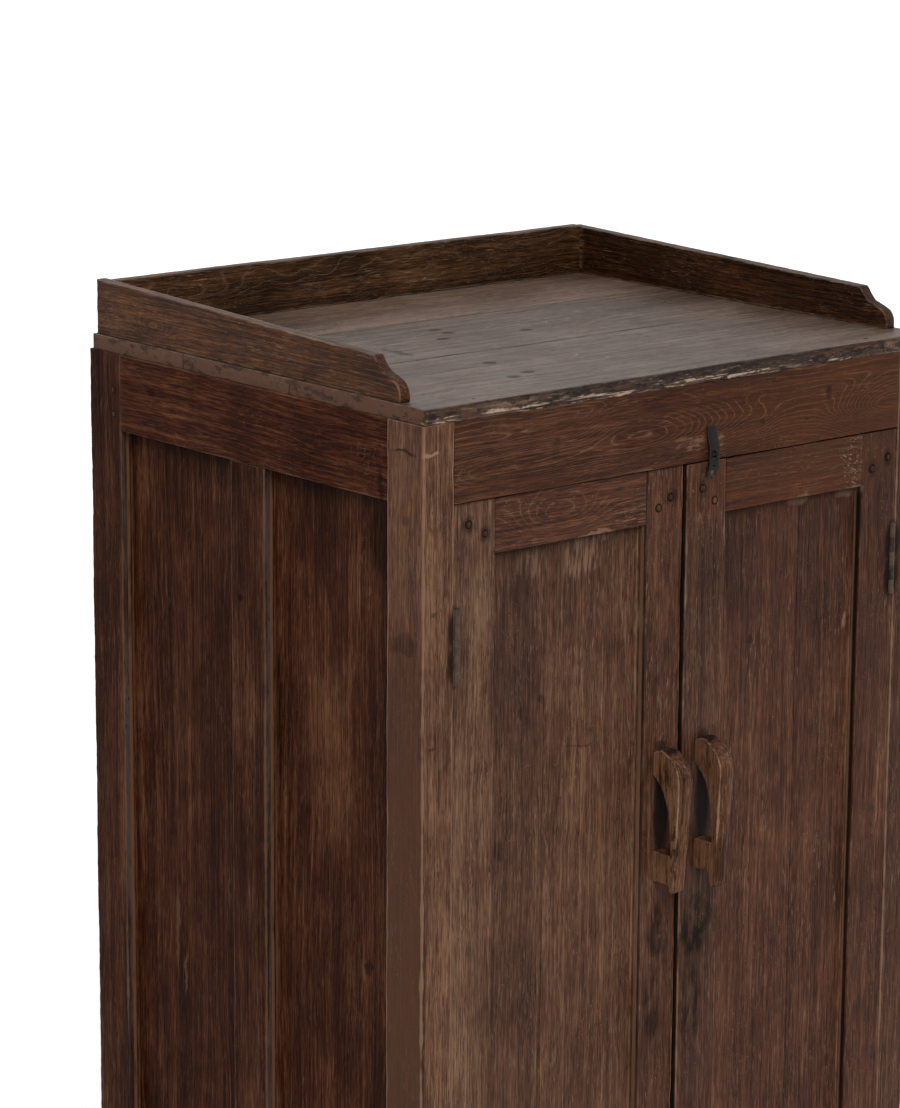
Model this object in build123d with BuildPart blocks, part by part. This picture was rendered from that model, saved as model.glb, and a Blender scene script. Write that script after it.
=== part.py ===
"""Tall two-door cupboard in old teak, with a low gallery round three sides of its top.

All sizes are in millimetres. +X points to the right, +Y to the back and +Z up.
The origin is on the floor, under the middle of the bounding box.
"""
from build123d import *

import os

# Case
case_width = 918.0
case_depth = 726.5
case_height = 1509.0
post_width = 51.0
front_post_depth = 72.5
rear_post_depth = 71.5
post_edge_chamfer = 1.5
leg_height = 70.0
bottom_rail_height = 60.0
top_rail_height = 107.0
frame_thickness = 34.0
side_muntin_front = 330.0
side_muntin_width = 73.5
rear_muntin_width = 74.0

# Front rails, and the lip that the doors close against
front_rail_thickness = 47.0
door_stop_drop = 12.0
door_stop_clearance = 0.5

# Mortise and tenon joints of the case
tenon_thickness = 12.0
tenon_length = 36.0
tenon_shoulder = 12.0
tenon_clearance = 0.2
mortise_end_clearance = 1.0
cross_tenon_setback = 14.0
side_tenon_setback = 19.0
muntin_tenon_length = 18.0

# Panels of the case
case_panel_thickness = 10.0
case_panel_recess = 16.0
groove_depth = 10.0
groove_clearance = 0.2
panel_edge_clearance = 2.0

# Pegs of the case: rises run up from the lower edge of each rail
case_peg_radius = 3.5
case_peg_length = 40.0
case_peg_from_shoulder = 16.0
top_rail_peg_rises = (21.5, 55.5)
bottom_rail_peg_rises = (18.0, 42.0)
peg_clearance = 0.08
peg_end_clearance = 0.5

# Top planks, with the two seams given from the front edge
top_thickness = 21.5
top_side_inset = 2.5
top_back_inset = 5.0
top_front_seam = 277.0
top_rear_seam = 511.0
top_seam_gap = 0.5
top_edge_radius = 2.0

# Gallery: starts run back from its front end, heights up from the top
gallery_thickness = 17.3
gallery_side_inset = 3.5
gallery_back_inset = 5.0
gallery_front_setback = 54.5
gallery_back_height = 74.0
gallery_sweep_start = 54.0
gallery_sweep_height = 54.0
gallery_nose_start = 29.0
gallery_nose_height = 33.0
gallery_tip_height = 12.0
gallery_sweep_sag = 3.5
gallery_nose_sag = 3.9
gallery_tongue_length = 8.0
gallery_tongue_thickness = 8.0
gallery_tongue_shoulder = 10.0
gallery_tongue_clearance = 0.2
gallery_dowel_radius = 4.0
gallery_dowel_length = 30.0
gallery_dowel_in_top = 14.0
gallery_dowel_margin = 60.0
gallery_back_dowel_count = 3

# Floor, shelves and bearers
floor_thickness = 14.0
floor_board_count = 4
floor_back_bearing = 7.0
shelf_thickness = 18.0
shelf_tops = (540.0, 950.0)
bearer_thickness = 24.0
bearer_height = 28.0
bearer_housing = 8.0
board_clearance = 1.0
board_seam_gap = 0.5

# Doors
door_thickness = 26.0
door_meeting_gap = 2.2
door_end_gap = 2.0
door_top_rail_height = 73.0
door_bottom_rail_height = 92.0
door_panel_thickness = 10.0
door_panel_recess = 12.0
door_groove_depth = 10.0
door_tenon_shoulder = 12.0
door_tenon_past_peg = 10.0
door_board_seam_gap = 0.4
door_peg_radius = 4.0
door_bottom_peg_rises = (36.0, 58.0)

# What differs between the two doors. Each peg is its distance in from the door's edge and
# its drop from the door's top. A handle is placed from the meeting edge and the floor.
LEFT = {
    "name": "left",
    "sign": 1,
    "inset": 6.0,
    "hinge_stile_width": 72.5,
    "meeting_stile_width": 66.0,
    "outer_board_width": 98.0,
    "handle_setback": 19.0,
    "handle_top": 1008.5,
    "handle_tip_drop": 190.0,
    "hinge_pegs": ((27.5, 29.0), (55.0, 44.5)),
    "meeting_pegs": ((22.0, 41.0), (44.0, 53.0)),
}
RIGHT = {
    "name": "right",
    "sign": -1,
    "inset": 0.0,
    "hinge_stile_width": 68.0,
    "meeting_stile_width": 72.5,
    "outer_board_width": 111.0,
    "handle_setback": 24.5,
    "handle_top": 1014.5,
    "handle_tip_drop": 200.0,
    "hinge_pegs": ((16.5, 38.0), (47.5, 51.0)),
    "meeting_pegs": ((29.5, 35.0), (52.0, 54.5)),
}

# Handles: reaches run out from the door's face, drops down from the handle's top
handle_width = 26.0
handle_reach = 50.5
handle_crown_reach = 10.0
handle_crown_rise = 6.0
handle_brow_reach = 41.0
handle_brow_drop = 17.0
handle_curve_drop = 46.0
handle_tip_reach = 44.5
handle_tip_round = 8.0
handle_gap_drop = 30.0
handle_gap_middle_reach = 24.0
handle_gap_middle_drop = 62.0
handle_gap_reach = 34.0
handle_gap_curve_drop = 133.0
handle_block_drop = 139.0
handle_block_bottom = 181.5
handle_tail_inner_reach = 30.0
handle_nail_drops = (14.0, 162.0)
handle_nail_head_reaches = (29.0, 41.0)
handle_nail_in_door = 20.0

# Nails of the case and the handles
nail_radius = 1.5
nail_head_radius = 3.2
nail_head_thickness = 1.2
nail_clearance = 0.05
top_nail_length = 60.0
top_nail_setback = 20.0
top_nail_distances = (100.0, 329.0)
top_side_nail_setback = 17.0
top_side_nail_margin = 60.0

# Butt hinges
hinge_length = 101.6
hinge_margin = 135.0
knuckle_count = 5
knuckle_radius = 4.6
knuckle_gap = 0.4
knuckle_post_clearance = 0.8
knuckle_notch_clearance = 0.4
hinge_pin_radius = 2.3
hinge_pin_clearance = 0.06
hinge_pin_tip = 1.5
leaf_thickness = 1.6
leaf_gap = 0.4
leaf_depth = 24.0
leaf_mortise_clearance = 0.1
hinge_nail_radius = 1.1
hinge_nail_head_radius = 2.4
hinge_nail_head_thickness = 0.7
hinge_nail_length = 18.0
hinge_nail_margin = 14.0
hinge_nail_setback = 14.0
hinge_nail_count = 3

# Hasp on the right door: rises run up from its pin
hasp_setback = 34.3
hasp_width = 18.0
hasp_thickness = 2.0
hasp_axis_drop = 8.0
hasp_knuckle_radius = 3.2
hasp_knuckle_clearance = 0.4
hasp_knuckle_width = 6.0
hasp_knuckle_gap = 0.4
hasp_pin_radius = 1.4
hasp_pin_clearance = 0.06
hasp_foot_height = 9.3
hasp_foot_thickness = 1.8
hasp_foot_gap = 3.8
hasp_web_thickness = 2.4
hasp_face_gap = 0.3
hasp_bow_reach = 7.5
hasp_bow_start = 8.0
hasp_bow_end = 30.0
hasp_tip_start = 45.0
hasp_notch_rise = 4.5
hasp_length = 57.0
hasp_slot_room_below = 1.4
hasp_slot_room_above = 1.7
hasp_slot_width = 6.0
hasp_nail_radius = 1.1
hasp_nail_head_radius = 1.9
hasp_nail_head_thickness = 0.7
hasp_nail_length = 14.0
hasp_nail_spacing = 10.0

# Staple in the top rail
staple_wire_radius = 1.3
staple_leg_spacing = 6.0
staple_reach = 14.0
staple_depth = 16.0
staple_rise = 19.0
staple_clearance = 0.05

# Places worked out from the sizes above
front_y = -(case_depth - handle_reach) / 2
back_y = front_y + case_depth
left_x = -case_width / 2
right_x = case_width / 2
SIDES = ("left", "right")
DOORS = (LEFT, RIGHT)
front_post_y = (front_y, front_y + front_post_depth)
rear_post_y = (back_y - rear_post_depth, back_y)
bottom_rail_z = (leg_height, leg_height + bottom_rail_height)
top_rail_z = (case_height - top_rail_height, case_height)
frame_opening_z = (bottom_rail_z[1], top_rail_z[0])
cross_rail_x = (left_x + post_width, right_x - post_width)
rear_frame_y = (back_y - frame_thickness, back_y)
rear_panel_y = (back_y - case_panel_recess - case_panel_thickness, back_y - case_panel_recess)
side_muntin_y = (front_y + side_muntin_front, front_y + side_muntin_front + side_muntin_width)
rear_muntin_x = (-rear_muntin_width / 2, rear_muntin_width / 2)
front_tenon_y = (front_y + cross_tenon_setback, front_y + cross_tenon_setback + tenon_thickness)
rear_tenon_y = (back_y - cross_tenon_setback - tenon_thickness, back_y - cross_tenon_setback)
tenon_room = tenon_length + mortise_end_clearance
panel_in_groove = groove_depth - panel_edge_clearance
stop_y = front_y + max(LEFT["inset"], RIGHT["inset"]) + door_thickness + door_stop_clearance
inner_x = (left_x + frame_thickness + board_clearance, right_x - frame_thickness - board_clearance)
door_z = (bottom_rail_z[1] + door_end_gap, top_rail_z[0] - door_end_gap)
door_side_gap = leaf_thickness + leaf_gap
knuckle_inset = knuckle_radius + knuckle_post_clearance - door_side_gap
door_opening_width = case_width - 2 * post_width
door_width = (door_opening_width - 2 * door_side_gap - door_meeting_gap) / 2
hinge_bottoms = (door_z[0] + hinge_margin, door_z[1] - hinge_margin - hinge_length)
knuckle_length = (hinge_length - (knuckle_count - 1) * knuckle_gap) / knuckle_count
top_z = (case_height, case_height + top_thickness)
top_x = (left_x + top_side_inset, right_x - top_side_inset)
top_y = (front_y, back_y - top_back_inset)
plank_seams_y = (front_y + top_front_seam, front_y + top_rear_seam)
gallery_y = (front_y + gallery_front_setback, top_y[1] - gallery_back_inset)
gallery_back_y = (gallery_y[1] - gallery_thickness, gallery_y[1])
hasp_x = right_x - post_width - door_side_gap - door_width + hasp_setback + hasp_width / 2
hasp_axis_y = front_y + RIGHT["inset"] - hasp_knuckle_radius - hasp_knuckle_clearance
hasp_axis_z = door_z[1] - hasp_axis_drop
staple_half_height = staple_leg_spacing / 2 + staple_wire_radius
case_nail_size = (nail_radius, nail_head_radius, nail_head_thickness)
hinge_nail_size = (hinge_nail_radius, hinge_nail_head_radius, hinge_nail_head_thickness)
hasp_nail_size = (hasp_nail_radius, hasp_nail_head_radius, hasp_nail_head_thickness)


def grow(span, amount):
    """Widen a span by the same amount at both ends."""
    return (span[0] - amount, span[1] + amount)


def middle(span):
    """The middle of a span."""
    return (span[0] + span[1]) / 2


def ordered(first, second):
    """A span from two places in either order."""
    return (min(first, second), max(first, second))


def spread(span, margin, count):
    """Evenly spaced places along a span, kept a margin from its ends."""
    pitch = (span[1] - span[0] - 2 * margin) / (count - 1)
    return [span[0] + margin + index * pitch for index in range(count)]


def slab(x_span, y_span, z_span, mode=Mode.ADD):
    """Add a block that fills three spans to the open part, or cut it away."""
    sizes = [span[1] - span[0] for span in (x_span, y_span, z_span)]
    with Locations((x_span[0], y_span[0], z_span[0])):
        Box(*sizes, align=(Align.MIN, Align.MIN, Align.MIN), mode=mode)


def round_bar(start, direction, radius, length, mode=Mode.ADD):
    """Add or cut a cylinder that runs from a point along a direction."""
    with Locations(Plane(origin=start, z_dir=direction)):
        Cylinder(radius, length, align=(Align.CENTER, Align.CENTER, Align.MIN), mode=mode)


def nail(start, direction, size, length):
    """Add a round nail whose head starts at the given point."""
    shank, head, head_thickness = size
    round_bar(start, direction, head, head_thickness)
    round_bar(start, direction, shank, length)


def nail_hole(start, direction, size, length):
    """Cut the room that a nail needs."""
    shank, head, head_thickness = size
    round_bar(start, direction, head + nail_clearance, head_thickness, Mode.SUBTRACT)
    round_bar(start, direction, shank + nail_clearance, length, Mode.SUBTRACT)


def from_side(side, near, far):
    """X span between two depths, measured in from the case's left or right face."""
    if side == "left":
        return (left_x + near, left_x + far)
    return (right_x - far, right_x - near)


def finish(part, name):
    """Label a finished piece and write it to its file."""
    part.label = name
    export_step(part, f"parts/{name}.step")


# Shared places in the case -------------------------------------------------------


def side_panel_x(side):
    """X span of a side panel's thickness."""
    return from_side(side, case_panel_recess, case_panel_recess + case_panel_thickness)


def side_tenon_x(side):
    """X span of a side rail's tenons."""
    return from_side(side, side_tenon_setback, side_tenon_setback + tenon_thickness)


def bearer_x(side):
    """X span of the shelf bearers of one side."""
    return from_side(side, frame_thickness, frame_thickness + bearer_thickness)


def bearer_spans_z():
    """Z span of each shelf bearer, right under its shelf."""
    undersides = [top - shelf_thickness for top in shelf_tops]
    return [(underside - bearer_height, underside) for underside in undersides]


def rail_pegs(side):
    """Starts and directions of a side's pegs: driven from inside in front, from outside behind."""
    outward = -1 if side == "left" else 1
    outer_face = from_side(side, 0, 0)[0]
    inner_face = from_side(side, post_width, post_width)[0]
    front_peg_y = front_post_y[1] - case_peg_from_shoulder
    rear_peg_y = rear_post_y[0] + case_peg_from_shoulder
    heights = [bottom_rail_z[0] + rise for rise in bottom_rail_peg_rises]
    heights += [top_rail_z[0] + rise for rise in top_rail_peg_rises]
    pegs = []
    for z in heights:
        pegs.append(((inner_face, front_peg_y, z), (outward, 0, 0)))
        pegs.append(((outer_face, rear_peg_y, z), (-outward, 0, 0)))
    return pegs


def cut_rail_pegs(side):
    """Cut the peg holes that the rails and posts of a side share."""
    hole_length = case_peg_length + peg_end_clearance
    for start, direction in rail_pegs(side):
        round_bar(start, direction, case_peg_radius + peg_clearance, hole_length, Mode.SUBTRACT)


def gallery_side_x(side):
    """X span of a gallery side."""
    near = top_side_inset + gallery_side_inset
    return from_side(side, near, near + gallery_thickness)


def gallery_dowels():
    """Lower ends of the dowels that hold the gallery: each side has one in every plank."""
    z = top_z[1] - gallery_dowel_in_top
    ends = (gallery_y[0], *plank_seams_y, gallery_y[1])
    rows = [middle(span) for span in zip(ends, ends[1:])]
    places = [(middle(gallery_side_x(side)), y, z) for side in SIDES for y in rows]
    back_x = (gallery_side_x("left")[1], gallery_side_x("right")[0])
    back_places = spread(back_x, gallery_dowel_margin, gallery_back_dowel_count)
    return places + [(x, middle(gallery_back_y), z) for x in back_places]


def cut_gallery_dowels():
    """Cut the dowel holes that the gallery and the top share."""
    hole_length = gallery_dowel_length + 2 * peg_end_clearance
    for x, y, z in gallery_dowels():
        base = (x, y, z - peg_end_clearance)
        round_bar(base, (0, 0, 1), gallery_dowel_radius + peg_clearance, hole_length, Mode.SUBTRACT)


def top_nails():
    """Starts of the nails that hold the top planks down, in the upper face of the top."""
    from_left = [left_x + distance for distance in top_nail_distances]
    from_right = [right_x - distance for distance in top_nail_distances]
    rows = (front_y + top_nail_setback, back_y - top_nail_setback)
    places = [(x, y, top_z[1]) for y in rows for x in from_left + from_right]
    for side in SIDES:
        x = from_side(side, top_side_nail_setback, top_side_nail_setback)[0]
        places += [(x, y, top_z[1]) for y in grow(plank_seams_y, -top_side_nail_margin)]
    return places


def cut_top_nails():
    """Cut the nail holes that the top planks and the rails share."""
    for start in top_nails():
        nail_hole(start, (0, 0, -1), case_nail_size, top_nail_length)


def staple_leg_starts():
    """Where the two legs of the staple enter the top rail."""
    z = hasp_axis_z + staple_rise
    half = staple_leg_spacing / 2
    return [(hasp_x, front_y, z - half), (hasp_x, front_y, z + half)]


# Shared places on the hinges -----------------------------------------------------


def post_face_x(door):
    """X of the post face that a door's hinges are fixed to."""
    return from_side(door["name"], post_width, post_width)[0]


def door_edge_x(door):
    """X of the door's edge on the hinge side."""
    return post_face_x(door) + door["sign"] * door_side_gap


def hinge_axis_x(door):
    """X of a door's hinge axis."""
    return door_edge_x(door) + door["sign"] * knuckle_inset


def frame_leaf_x(door):
    """X span of the leaf that lies on the post."""
    return ordered(post_face_x(door), post_face_x(door) + door["sign"] * leaf_thickness)


def door_leaf_x(door):
    """X span of the leaf that is let into the door's edge."""
    return ordered(door_edge_x(door), door_edge_x(door) + door["sign"] * leaf_thickness)


def leaf_nail_heights():
    """Heights of the nails in the hinges of one door."""
    heights = []
    for bottom in hinge_bottoms:
        heights += spread((bottom, bottom + hinge_length), hinge_nail_margin, hinge_nail_count)
    return heights


def frame_leaf_nails(door):
    """Starts and direction of the nails that hold a door's hinges to the post."""
    x = post_face_x(door) + door["sign"] * leaf_thickness
    starts = [(x, front_y + hinge_nail_setback, z) for z in leaf_nail_heights()]
    return starts, (-door["sign"], 0, 0)


def door_leaf_nails(door):
    """Starts and direction of the nails that hold the hinges to the door."""
    y = front_y + door["inset"] + hinge_nail_setback
    starts = [(door_edge_x(door), y, z) for z in leaf_nail_heights()]
    return starts, (door["sign"], 0, 0)


def add_nails(nails, size, length):
    """Add a group of like nails."""
    starts, direction = nails
    for start in starts:
        nail(start, direction, size, length)


def cut_nails(nails, size, length):
    """Cut the holes of a group of like nails."""
    starts, direction = nails
    for start in starts:
        nail_hole(start, direction, size, length)


def hinge_leaf(door, bottom, plate_x, plate_y, own_knuckles):
    """Add one leaf: its plate, its knuckles, room for the other leaf's knuckles, and the bore."""
    axis_x = hinge_axis_x(door)
    slab(plate_x, plate_y, (bottom, bottom + hinge_length))
    for index in range(knuckle_count):
        start = bottom + index * (knuckle_length + knuckle_gap)
        if index in own_knuckles:
            round_bar((axis_x, front_y, start), (0, 0, 1), knuckle_radius, knuckle_length)
        else:
            room_base = (axis_x, front_y, start - knuckle_gap)
            room_radius = knuckle_radius + knuckle_notch_clearance
            room_length = knuckle_length + 2 * knuckle_gap
            round_bar(room_base, (0, 0, 1), room_radius, room_length, Mode.SUBTRACT)
    bore_base = (axis_x, front_y, bottom - knuckle_gap)
    bore_radius = hinge_pin_radius + hinge_pin_clearance
    round_bar(bore_base, (0, 0, 1), bore_radius, hinge_length + 2 * knuckle_gap, Mode.SUBTRACT)


# Pieces of the case --------------------------------------------------------------


def make_post(side, end):
    """A corner post, mortised for its rails, grooved for its panels, housed for the bearers."""
    if end == "front":
        y_span = front_post_y
        inner_y = y_span[1]
        inward = -1
        cross_tenon_y = front_tenon_y
    else:
        y_span = rear_post_y
        inner_y = y_span[0]
        inward = 1
        cross_tenon_y = rear_tenon_y
    side_mortise_x = grow(side_tenon_x(side), tenon_clearance)
    side_mortise_y = ordered(inner_y, inner_y + inward * tenon_room)
    cross_mortise_x = from_side(side, post_width - tenon_room, post_width)
    cross_mortise_y = grow(cross_tenon_y, tenon_clearance)
    groove_z = grow(frame_opening_z, groove_depth)
    groove_y = ordered(inner_y, inner_y + inward * groove_depth)
    rear_groove_x = from_side(side, post_width - groove_depth, post_width)
    housing_x = grow(bearer_x(side), tenon_clearance)
    housing_y = ordered(inner_y, inner_y + inward * (bearer_housing + mortise_end_clearance))
    with BuildPart() as post:
        slab(from_side(side, 0, post_width), y_span, (0, case_height))
        chamfer(post.edges().filter_by(Axis.Z), length=post_edge_chamfer)
        for rail_z in (bottom_rail_z, top_rail_z):
            mortise_z = grow(rail_z, tenon_clearance - tenon_shoulder)
            slab(side_mortise_x, side_mortise_y, mortise_z, Mode.SUBTRACT)
            slab(cross_mortise_x, cross_mortise_y, mortise_z, Mode.SUBTRACT)
        slab(grow(side_panel_x(side), groove_clearance), groove_y, groove_z, Mode.SUBTRACT)
        if end == "rear":
            slab(rear_groove_x, grow(rear_panel_y, groove_clearance), groove_z, Mode.SUBTRACT)
        for bearer_z in bearer_spans_z():
            slab(housing_x, housing_y, grow(bearer_z, tenon_clearance), Mode.SUBTRACT)
        cut_rail_pegs(side)
        if end == "front":
            door = LEFT if side == "left" else RIGHT
            cut_nails(frame_leaf_nails(door), hinge_nail_size, hinge_nail_length)
    finish(post.part, f"{end}_{side}_post")


def cut_into_rail(x_span, y_span, rail_z, depth):
    """Cut into the edge of a rail that faces the panels."""
    if rail_z == bottom_rail_z:
        slab(x_span, y_span, (rail_z[1] - depth, rail_z[1]), Mode.SUBTRACT)
    else:
        slab(x_span, y_span, (rail_z[0], rail_z[0] + depth), Mode.SUBTRACT)


def make_side_rail(side, end, rail_z):
    """A side rail, tenoned into the two posts of its side and grooved for its panels."""
    y_span = (front_post_y[1], rear_post_y[0])
    groove_x = grow(side_panel_x(side), groove_clearance)
    muntin_tenon_y = grow(side_muntin_y, tenon_clearance - tenon_shoulder)
    with BuildPart() as rail:
        slab(from_side(side, 0, frame_thickness), y_span, rail_z)
        slab(side_tenon_x(side), grow(y_span, tenon_length), grow(rail_z, -tenon_shoulder))
        cut_into_rail(groove_x, y_span, rail_z, groove_depth)
        cut_into_rail(groove_x, muntin_tenon_y, rail_z, muntin_tenon_length + mortise_end_clearance)
        cut_rail_pegs(side)
        if rail_z == top_rail_z:
            cut_top_nails()
    finish(rail.part, f"{side}_{end}_rail")


def make_front_rail(end, rail_z):
    """A front rail. The top one carries the lip that the doors close against, and the staple."""
    rail_y = (front_y, front_y + front_rail_thickness)
    with BuildPart() as rail:
        slab(cross_rail_x, rail_y, rail_z)
        slab(grow(cross_rail_x, tenon_length), front_tenon_y, grow(rail_z, -tenon_shoulder))
        if rail_z == top_rail_z:
            slab(cross_rail_x, (stop_y, rail_y[1]), (rail_z[0] - door_stop_drop, rail_z[0]))
            cut_top_nails()
            hole_radius = staple_wire_radius + staple_clearance
            for leg_start in staple_leg_starts():
                round_bar(leg_start, (0, 1, 0), hole_radius, staple_depth, Mode.SUBTRACT)
    finish(rail.part, f"front_{end}_rail")


def make_rear_rail(end, rail_z):
    """A rear rail, grooved for the back panels."""
    groove_y = grow(rear_panel_y, groove_clearance)
    muntin_tenon_x = grow(rear_muntin_x, tenon_clearance - tenon_shoulder)
    with BuildPart() as rail:
        slab(cross_rail_x, rear_frame_y, rail_z)
        slab(grow(cross_rail_x, tenon_length), rear_tenon_y, grow(rail_z, -tenon_shoulder))
        cut_into_rail(cross_rail_x, groove_y, rail_z, groove_depth)
        cut_into_rail(muntin_tenon_x, groove_y, rail_z, muntin_tenon_length + mortise_end_clearance)
        if rail_z == top_rail_z:
            cut_top_nails()
    finish(rail.part, f"rear_{end}_rail")


def edge_strips(span, depth):
    """The two strips of a given depth along the ends of a span."""
    return ((span[0], span[0] + depth), (span[1] - depth, span[1]))


def make_side_muntin(side):
    """The upright between the two panels of a side."""
    groove_x = grow(side_panel_x(side), groove_clearance)
    with BuildPart() as muntin:
        slab(from_side(side, 0, frame_thickness), side_muntin_y, frame_opening_z)
        tenon_z = grow(frame_opening_z, muntin_tenon_length)
        slab(side_panel_x(side), grow(side_muntin_y, -tenon_shoulder), tenon_z)
        for strip_y in edge_strips(side_muntin_y, groove_depth):
            slab(groove_x, strip_y, frame_opening_z, Mode.SUBTRACT)
    finish(muntin.part, f"{side}_muntin")


def make_rear_muntin():
    """The upright between the two back panels."""
    groove_y = grow(rear_panel_y, groove_clearance)
    with BuildPart() as muntin:
        slab(rear_muntin_x, rear_frame_y, frame_opening_z)
        tenon_z = grow(frame_opening_z, muntin_tenon_length)
        slab(grow(rear_muntin_x, -tenon_shoulder), rear_panel_y, tenon_z)
        for strip_x in edge_strips(rear_muntin_x, groove_depth):
            slab(strip_x, groove_y, frame_opening_z, Mode.SUBTRACT)
    finish(muntin.part, "rear_muntin")


def make_case_panels():
    """The six loose panels of the sides and the back."""
    panel_z = grow(frame_opening_z, panel_in_groove)
    side_openings = {
        "front": (front_post_y[1], side_muntin_y[0]),
        "rear": (side_muntin_y[1], rear_post_y[0]),
    }
    rear_openings = {
        "left": (cross_rail_x[0], rear_muntin_x[0]),
        "right": (rear_muntin_x[1], cross_rail_x[1]),
    }
    for side in SIDES:
        for end, opening_y in side_openings.items():
            with BuildPart() as panel:
                slab(side_panel_x(side), grow(opening_y, panel_in_groove), panel_z)
            finish(panel.part, f"{side}_{end}_panel")
        with BuildPart() as panel:
            slab(grow(rear_openings[side], panel_in_groove), rear_panel_y, panel_z)
        finish(panel.part, f"rear_{side}_panel")


def make_top_planks():
    """The three planks of the top, with open seams between them."""
    front_seam_y, rear_seam_y = plank_seams_y
    half_gap = top_seam_gap / 2
    spans = {
        "top_front_plank": (top_y[0], front_seam_y - half_gap),
        "top_middle_plank": (front_seam_y + half_gap, rear_seam_y - half_gap),
        "top_rear_plank": (rear_seam_y + half_gap, top_y[1]),
    }
    for name, y_span in spans.items():
        with BuildPart() as plank:
            slab(top_x, y_span, top_z)
            if name == "top_front_plank":
                front_edges = plank.edges().filter_by(Axis.X).group_by(Axis.Y)[0]
                fillet(front_edges, radius=top_edge_radius)
            cut_top_nails()
            cut_gallery_dowels()
        finish(plank.part, name)


def gallery_tongue_y():
    """Y span of the tongues that join the gallery's back to its sides."""
    half = gallery_tongue_thickness / 2
    return (middle(gallery_back_y) - half, middle(gallery_back_y) + half)


def gallery_tongue_z():
    """Z span of the tongues of the gallery's back."""
    return grow((top_z[1], top_z[1] + gallery_back_height), -gallery_tongue_shoulder)


def make_gallery_side(side):
    """A gallery side: highest at the back, with a swept and rounded front end."""
    x_span = gallery_side_x(side)
    front, back = gallery_y
    base = top_z[1]
    sweep_top = (front + gallery_sweep_start, base + gallery_sweep_height)
    nose_back = (front + gallery_nose_start, base + gallery_nose_height)
    tip_top = (front, base + gallery_tip_height)
    housing_depth = gallery_tongue_length + gallery_tongue_clearance
    inner_strip_x = edge_strips(x_span, housing_depth)[1 if side == "left" else 0]
    housing_y = grow(gallery_tongue_y(), gallery_tongue_clearance)
    housing_z = grow(gallery_tongue_z(), gallery_tongue_clearance)
    with BuildPart() as rail:
        with BuildSketch(Plane.YZ.offset(x_span[0])):
            with BuildLine():
                Polyline(tip_top, (front, base), (back, base), (back, base + gallery_back_height), sweep_top)
                SagittaArc(sweep_top, nose_back, gallery_sweep_sag)
                SagittaArc(nose_back, tip_top, -gallery_nose_sag)
            make_face()
        extrude(amount=x_span[1] - x_span[0])
        slab(inner_strip_x, housing_y, housing_z, Mode.SUBTRACT)
        cut_gallery_dowels()
    finish(rail.part, f"gallery_{side}")


def make_gallery_back():
    """The gallery's back, tongued into its two sides."""
    x_span = (gallery_side_x("left")[1], gallery_side_x("right")[0])
    with BuildPart() as rail:
        slab(x_span, gallery_back_y, (top_z[1], top_z[1] + gallery_back_height))
        slab(grow(x_span, gallery_tongue_length), gallery_tongue_y(), gallery_tongue_z())
        cut_gallery_dowels()
    finish(rail.part, "gallery_back")


def make_floor():
    """The floor boards: they run front to back on the bottom rails, and stop the doors."""
    y_span = (stop_y, rear_frame_y[0] + floor_back_bearing)
    z_span = (bottom_rail_z[1], bottom_rail_z[1] + floor_thickness)
    pitch = (inner_x[1] - inner_x[0]) / floor_board_count
    with BuildPart() as floor:
        for index in range(floor_board_count):
            start = inner_x[0] + index * pitch
            slab((start, start + pitch - board_seam_gap), y_span, z_span)
        for side in SIDES:
            post_x = grow(from_side(side, 0, post_width), board_clearance)
            for post_y in (front_post_y, rear_post_y):
                slab(post_x, grow(post_y, board_clearance), z_span, Mode.SUBTRACT)
        muntin_x = grow(rear_muntin_x, board_clearance)
        slab(muntin_x, grow(rear_frame_y, board_clearance), z_span, Mode.SUBTRACT)
    finish(floor.part, "floor_boards")


def make_shelf(name, top):
    """A shelf, notched round the rear posts, resting on its two bearers."""
    y_span = (front_post_y[1] + board_clearance, rear_frame_y[0] - board_clearance)
    z_span = (top - shelf_thickness, top)
    with BuildPart() as shelf:
        slab(inner_x, y_span, z_span)
        for side in SIDES:
            post_x = grow(from_side(side, 0, post_width), board_clearance)
            slab(post_x, grow(rear_post_y, board_clearance), z_span, Mode.SUBTRACT)
    finish(shelf.part, name)


def make_bearers():
    """The four shelf bearers, let into the posts at both ends."""
    y_span = grow((front_post_y[1], rear_post_y[0]), bearer_housing)
    with BuildPart() as bearers:
        for side in SIDES:
            for bearer_z in bearer_spans_z():
                slab(bearer_x(side), y_span, bearer_z)
    finish(bearers.part, "shelf_bearers")


def make_case_fasteners():
    """The pegs, dowels and nails of the case."""
    with BuildPart() as pegs:
        for side in SIDES:
            for start, direction in rail_pegs(side):
                round_bar(start, direction, case_peg_radius, case_peg_length)
        for place in gallery_dowels():
            round_bar(place, (0, 0, 1), gallery_dowel_radius, gallery_dowel_length)
    finish(pegs.part, "case_pegs")
    with BuildPart() as nails:
        add_nails((top_nails(), (0, 0, -1)), case_nail_size, top_nail_length)
        for door in DOORS:
            add_nails(frame_leaf_nails(door), hinge_nail_size, hinge_nail_length)
    finish(nails.part, "case_nails")


def make_frame_hinge_parts():
    """The leaves on the posts, and the pins that both leaves turn on."""
    plate_y = (front_y, front_y + leaf_depth)
    own_knuckles = range(0, knuckle_count, 2)
    with BuildPart() as leaves:
        for door in DOORS:
            for bottom in hinge_bottoms:
                hinge_leaf(door, bottom, frame_leaf_x(door), plate_y, own_knuckles)
            cut_nails(frame_leaf_nails(door), hinge_nail_size, hinge_nail_length)
    finish(leaves.part, "frame_hinge_leaves")
    with BuildPart() as pins:
        for door in DOORS:
            for bottom in hinge_bottoms:
                pin_base = (hinge_axis_x(door), front_y, bottom - hinge_pin_tip)
                round_bar(pin_base, (0, 0, 1), hinge_pin_radius, hinge_length + 2 * hinge_pin_tip)
    finish(pins.part, "hinge_pins")


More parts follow.
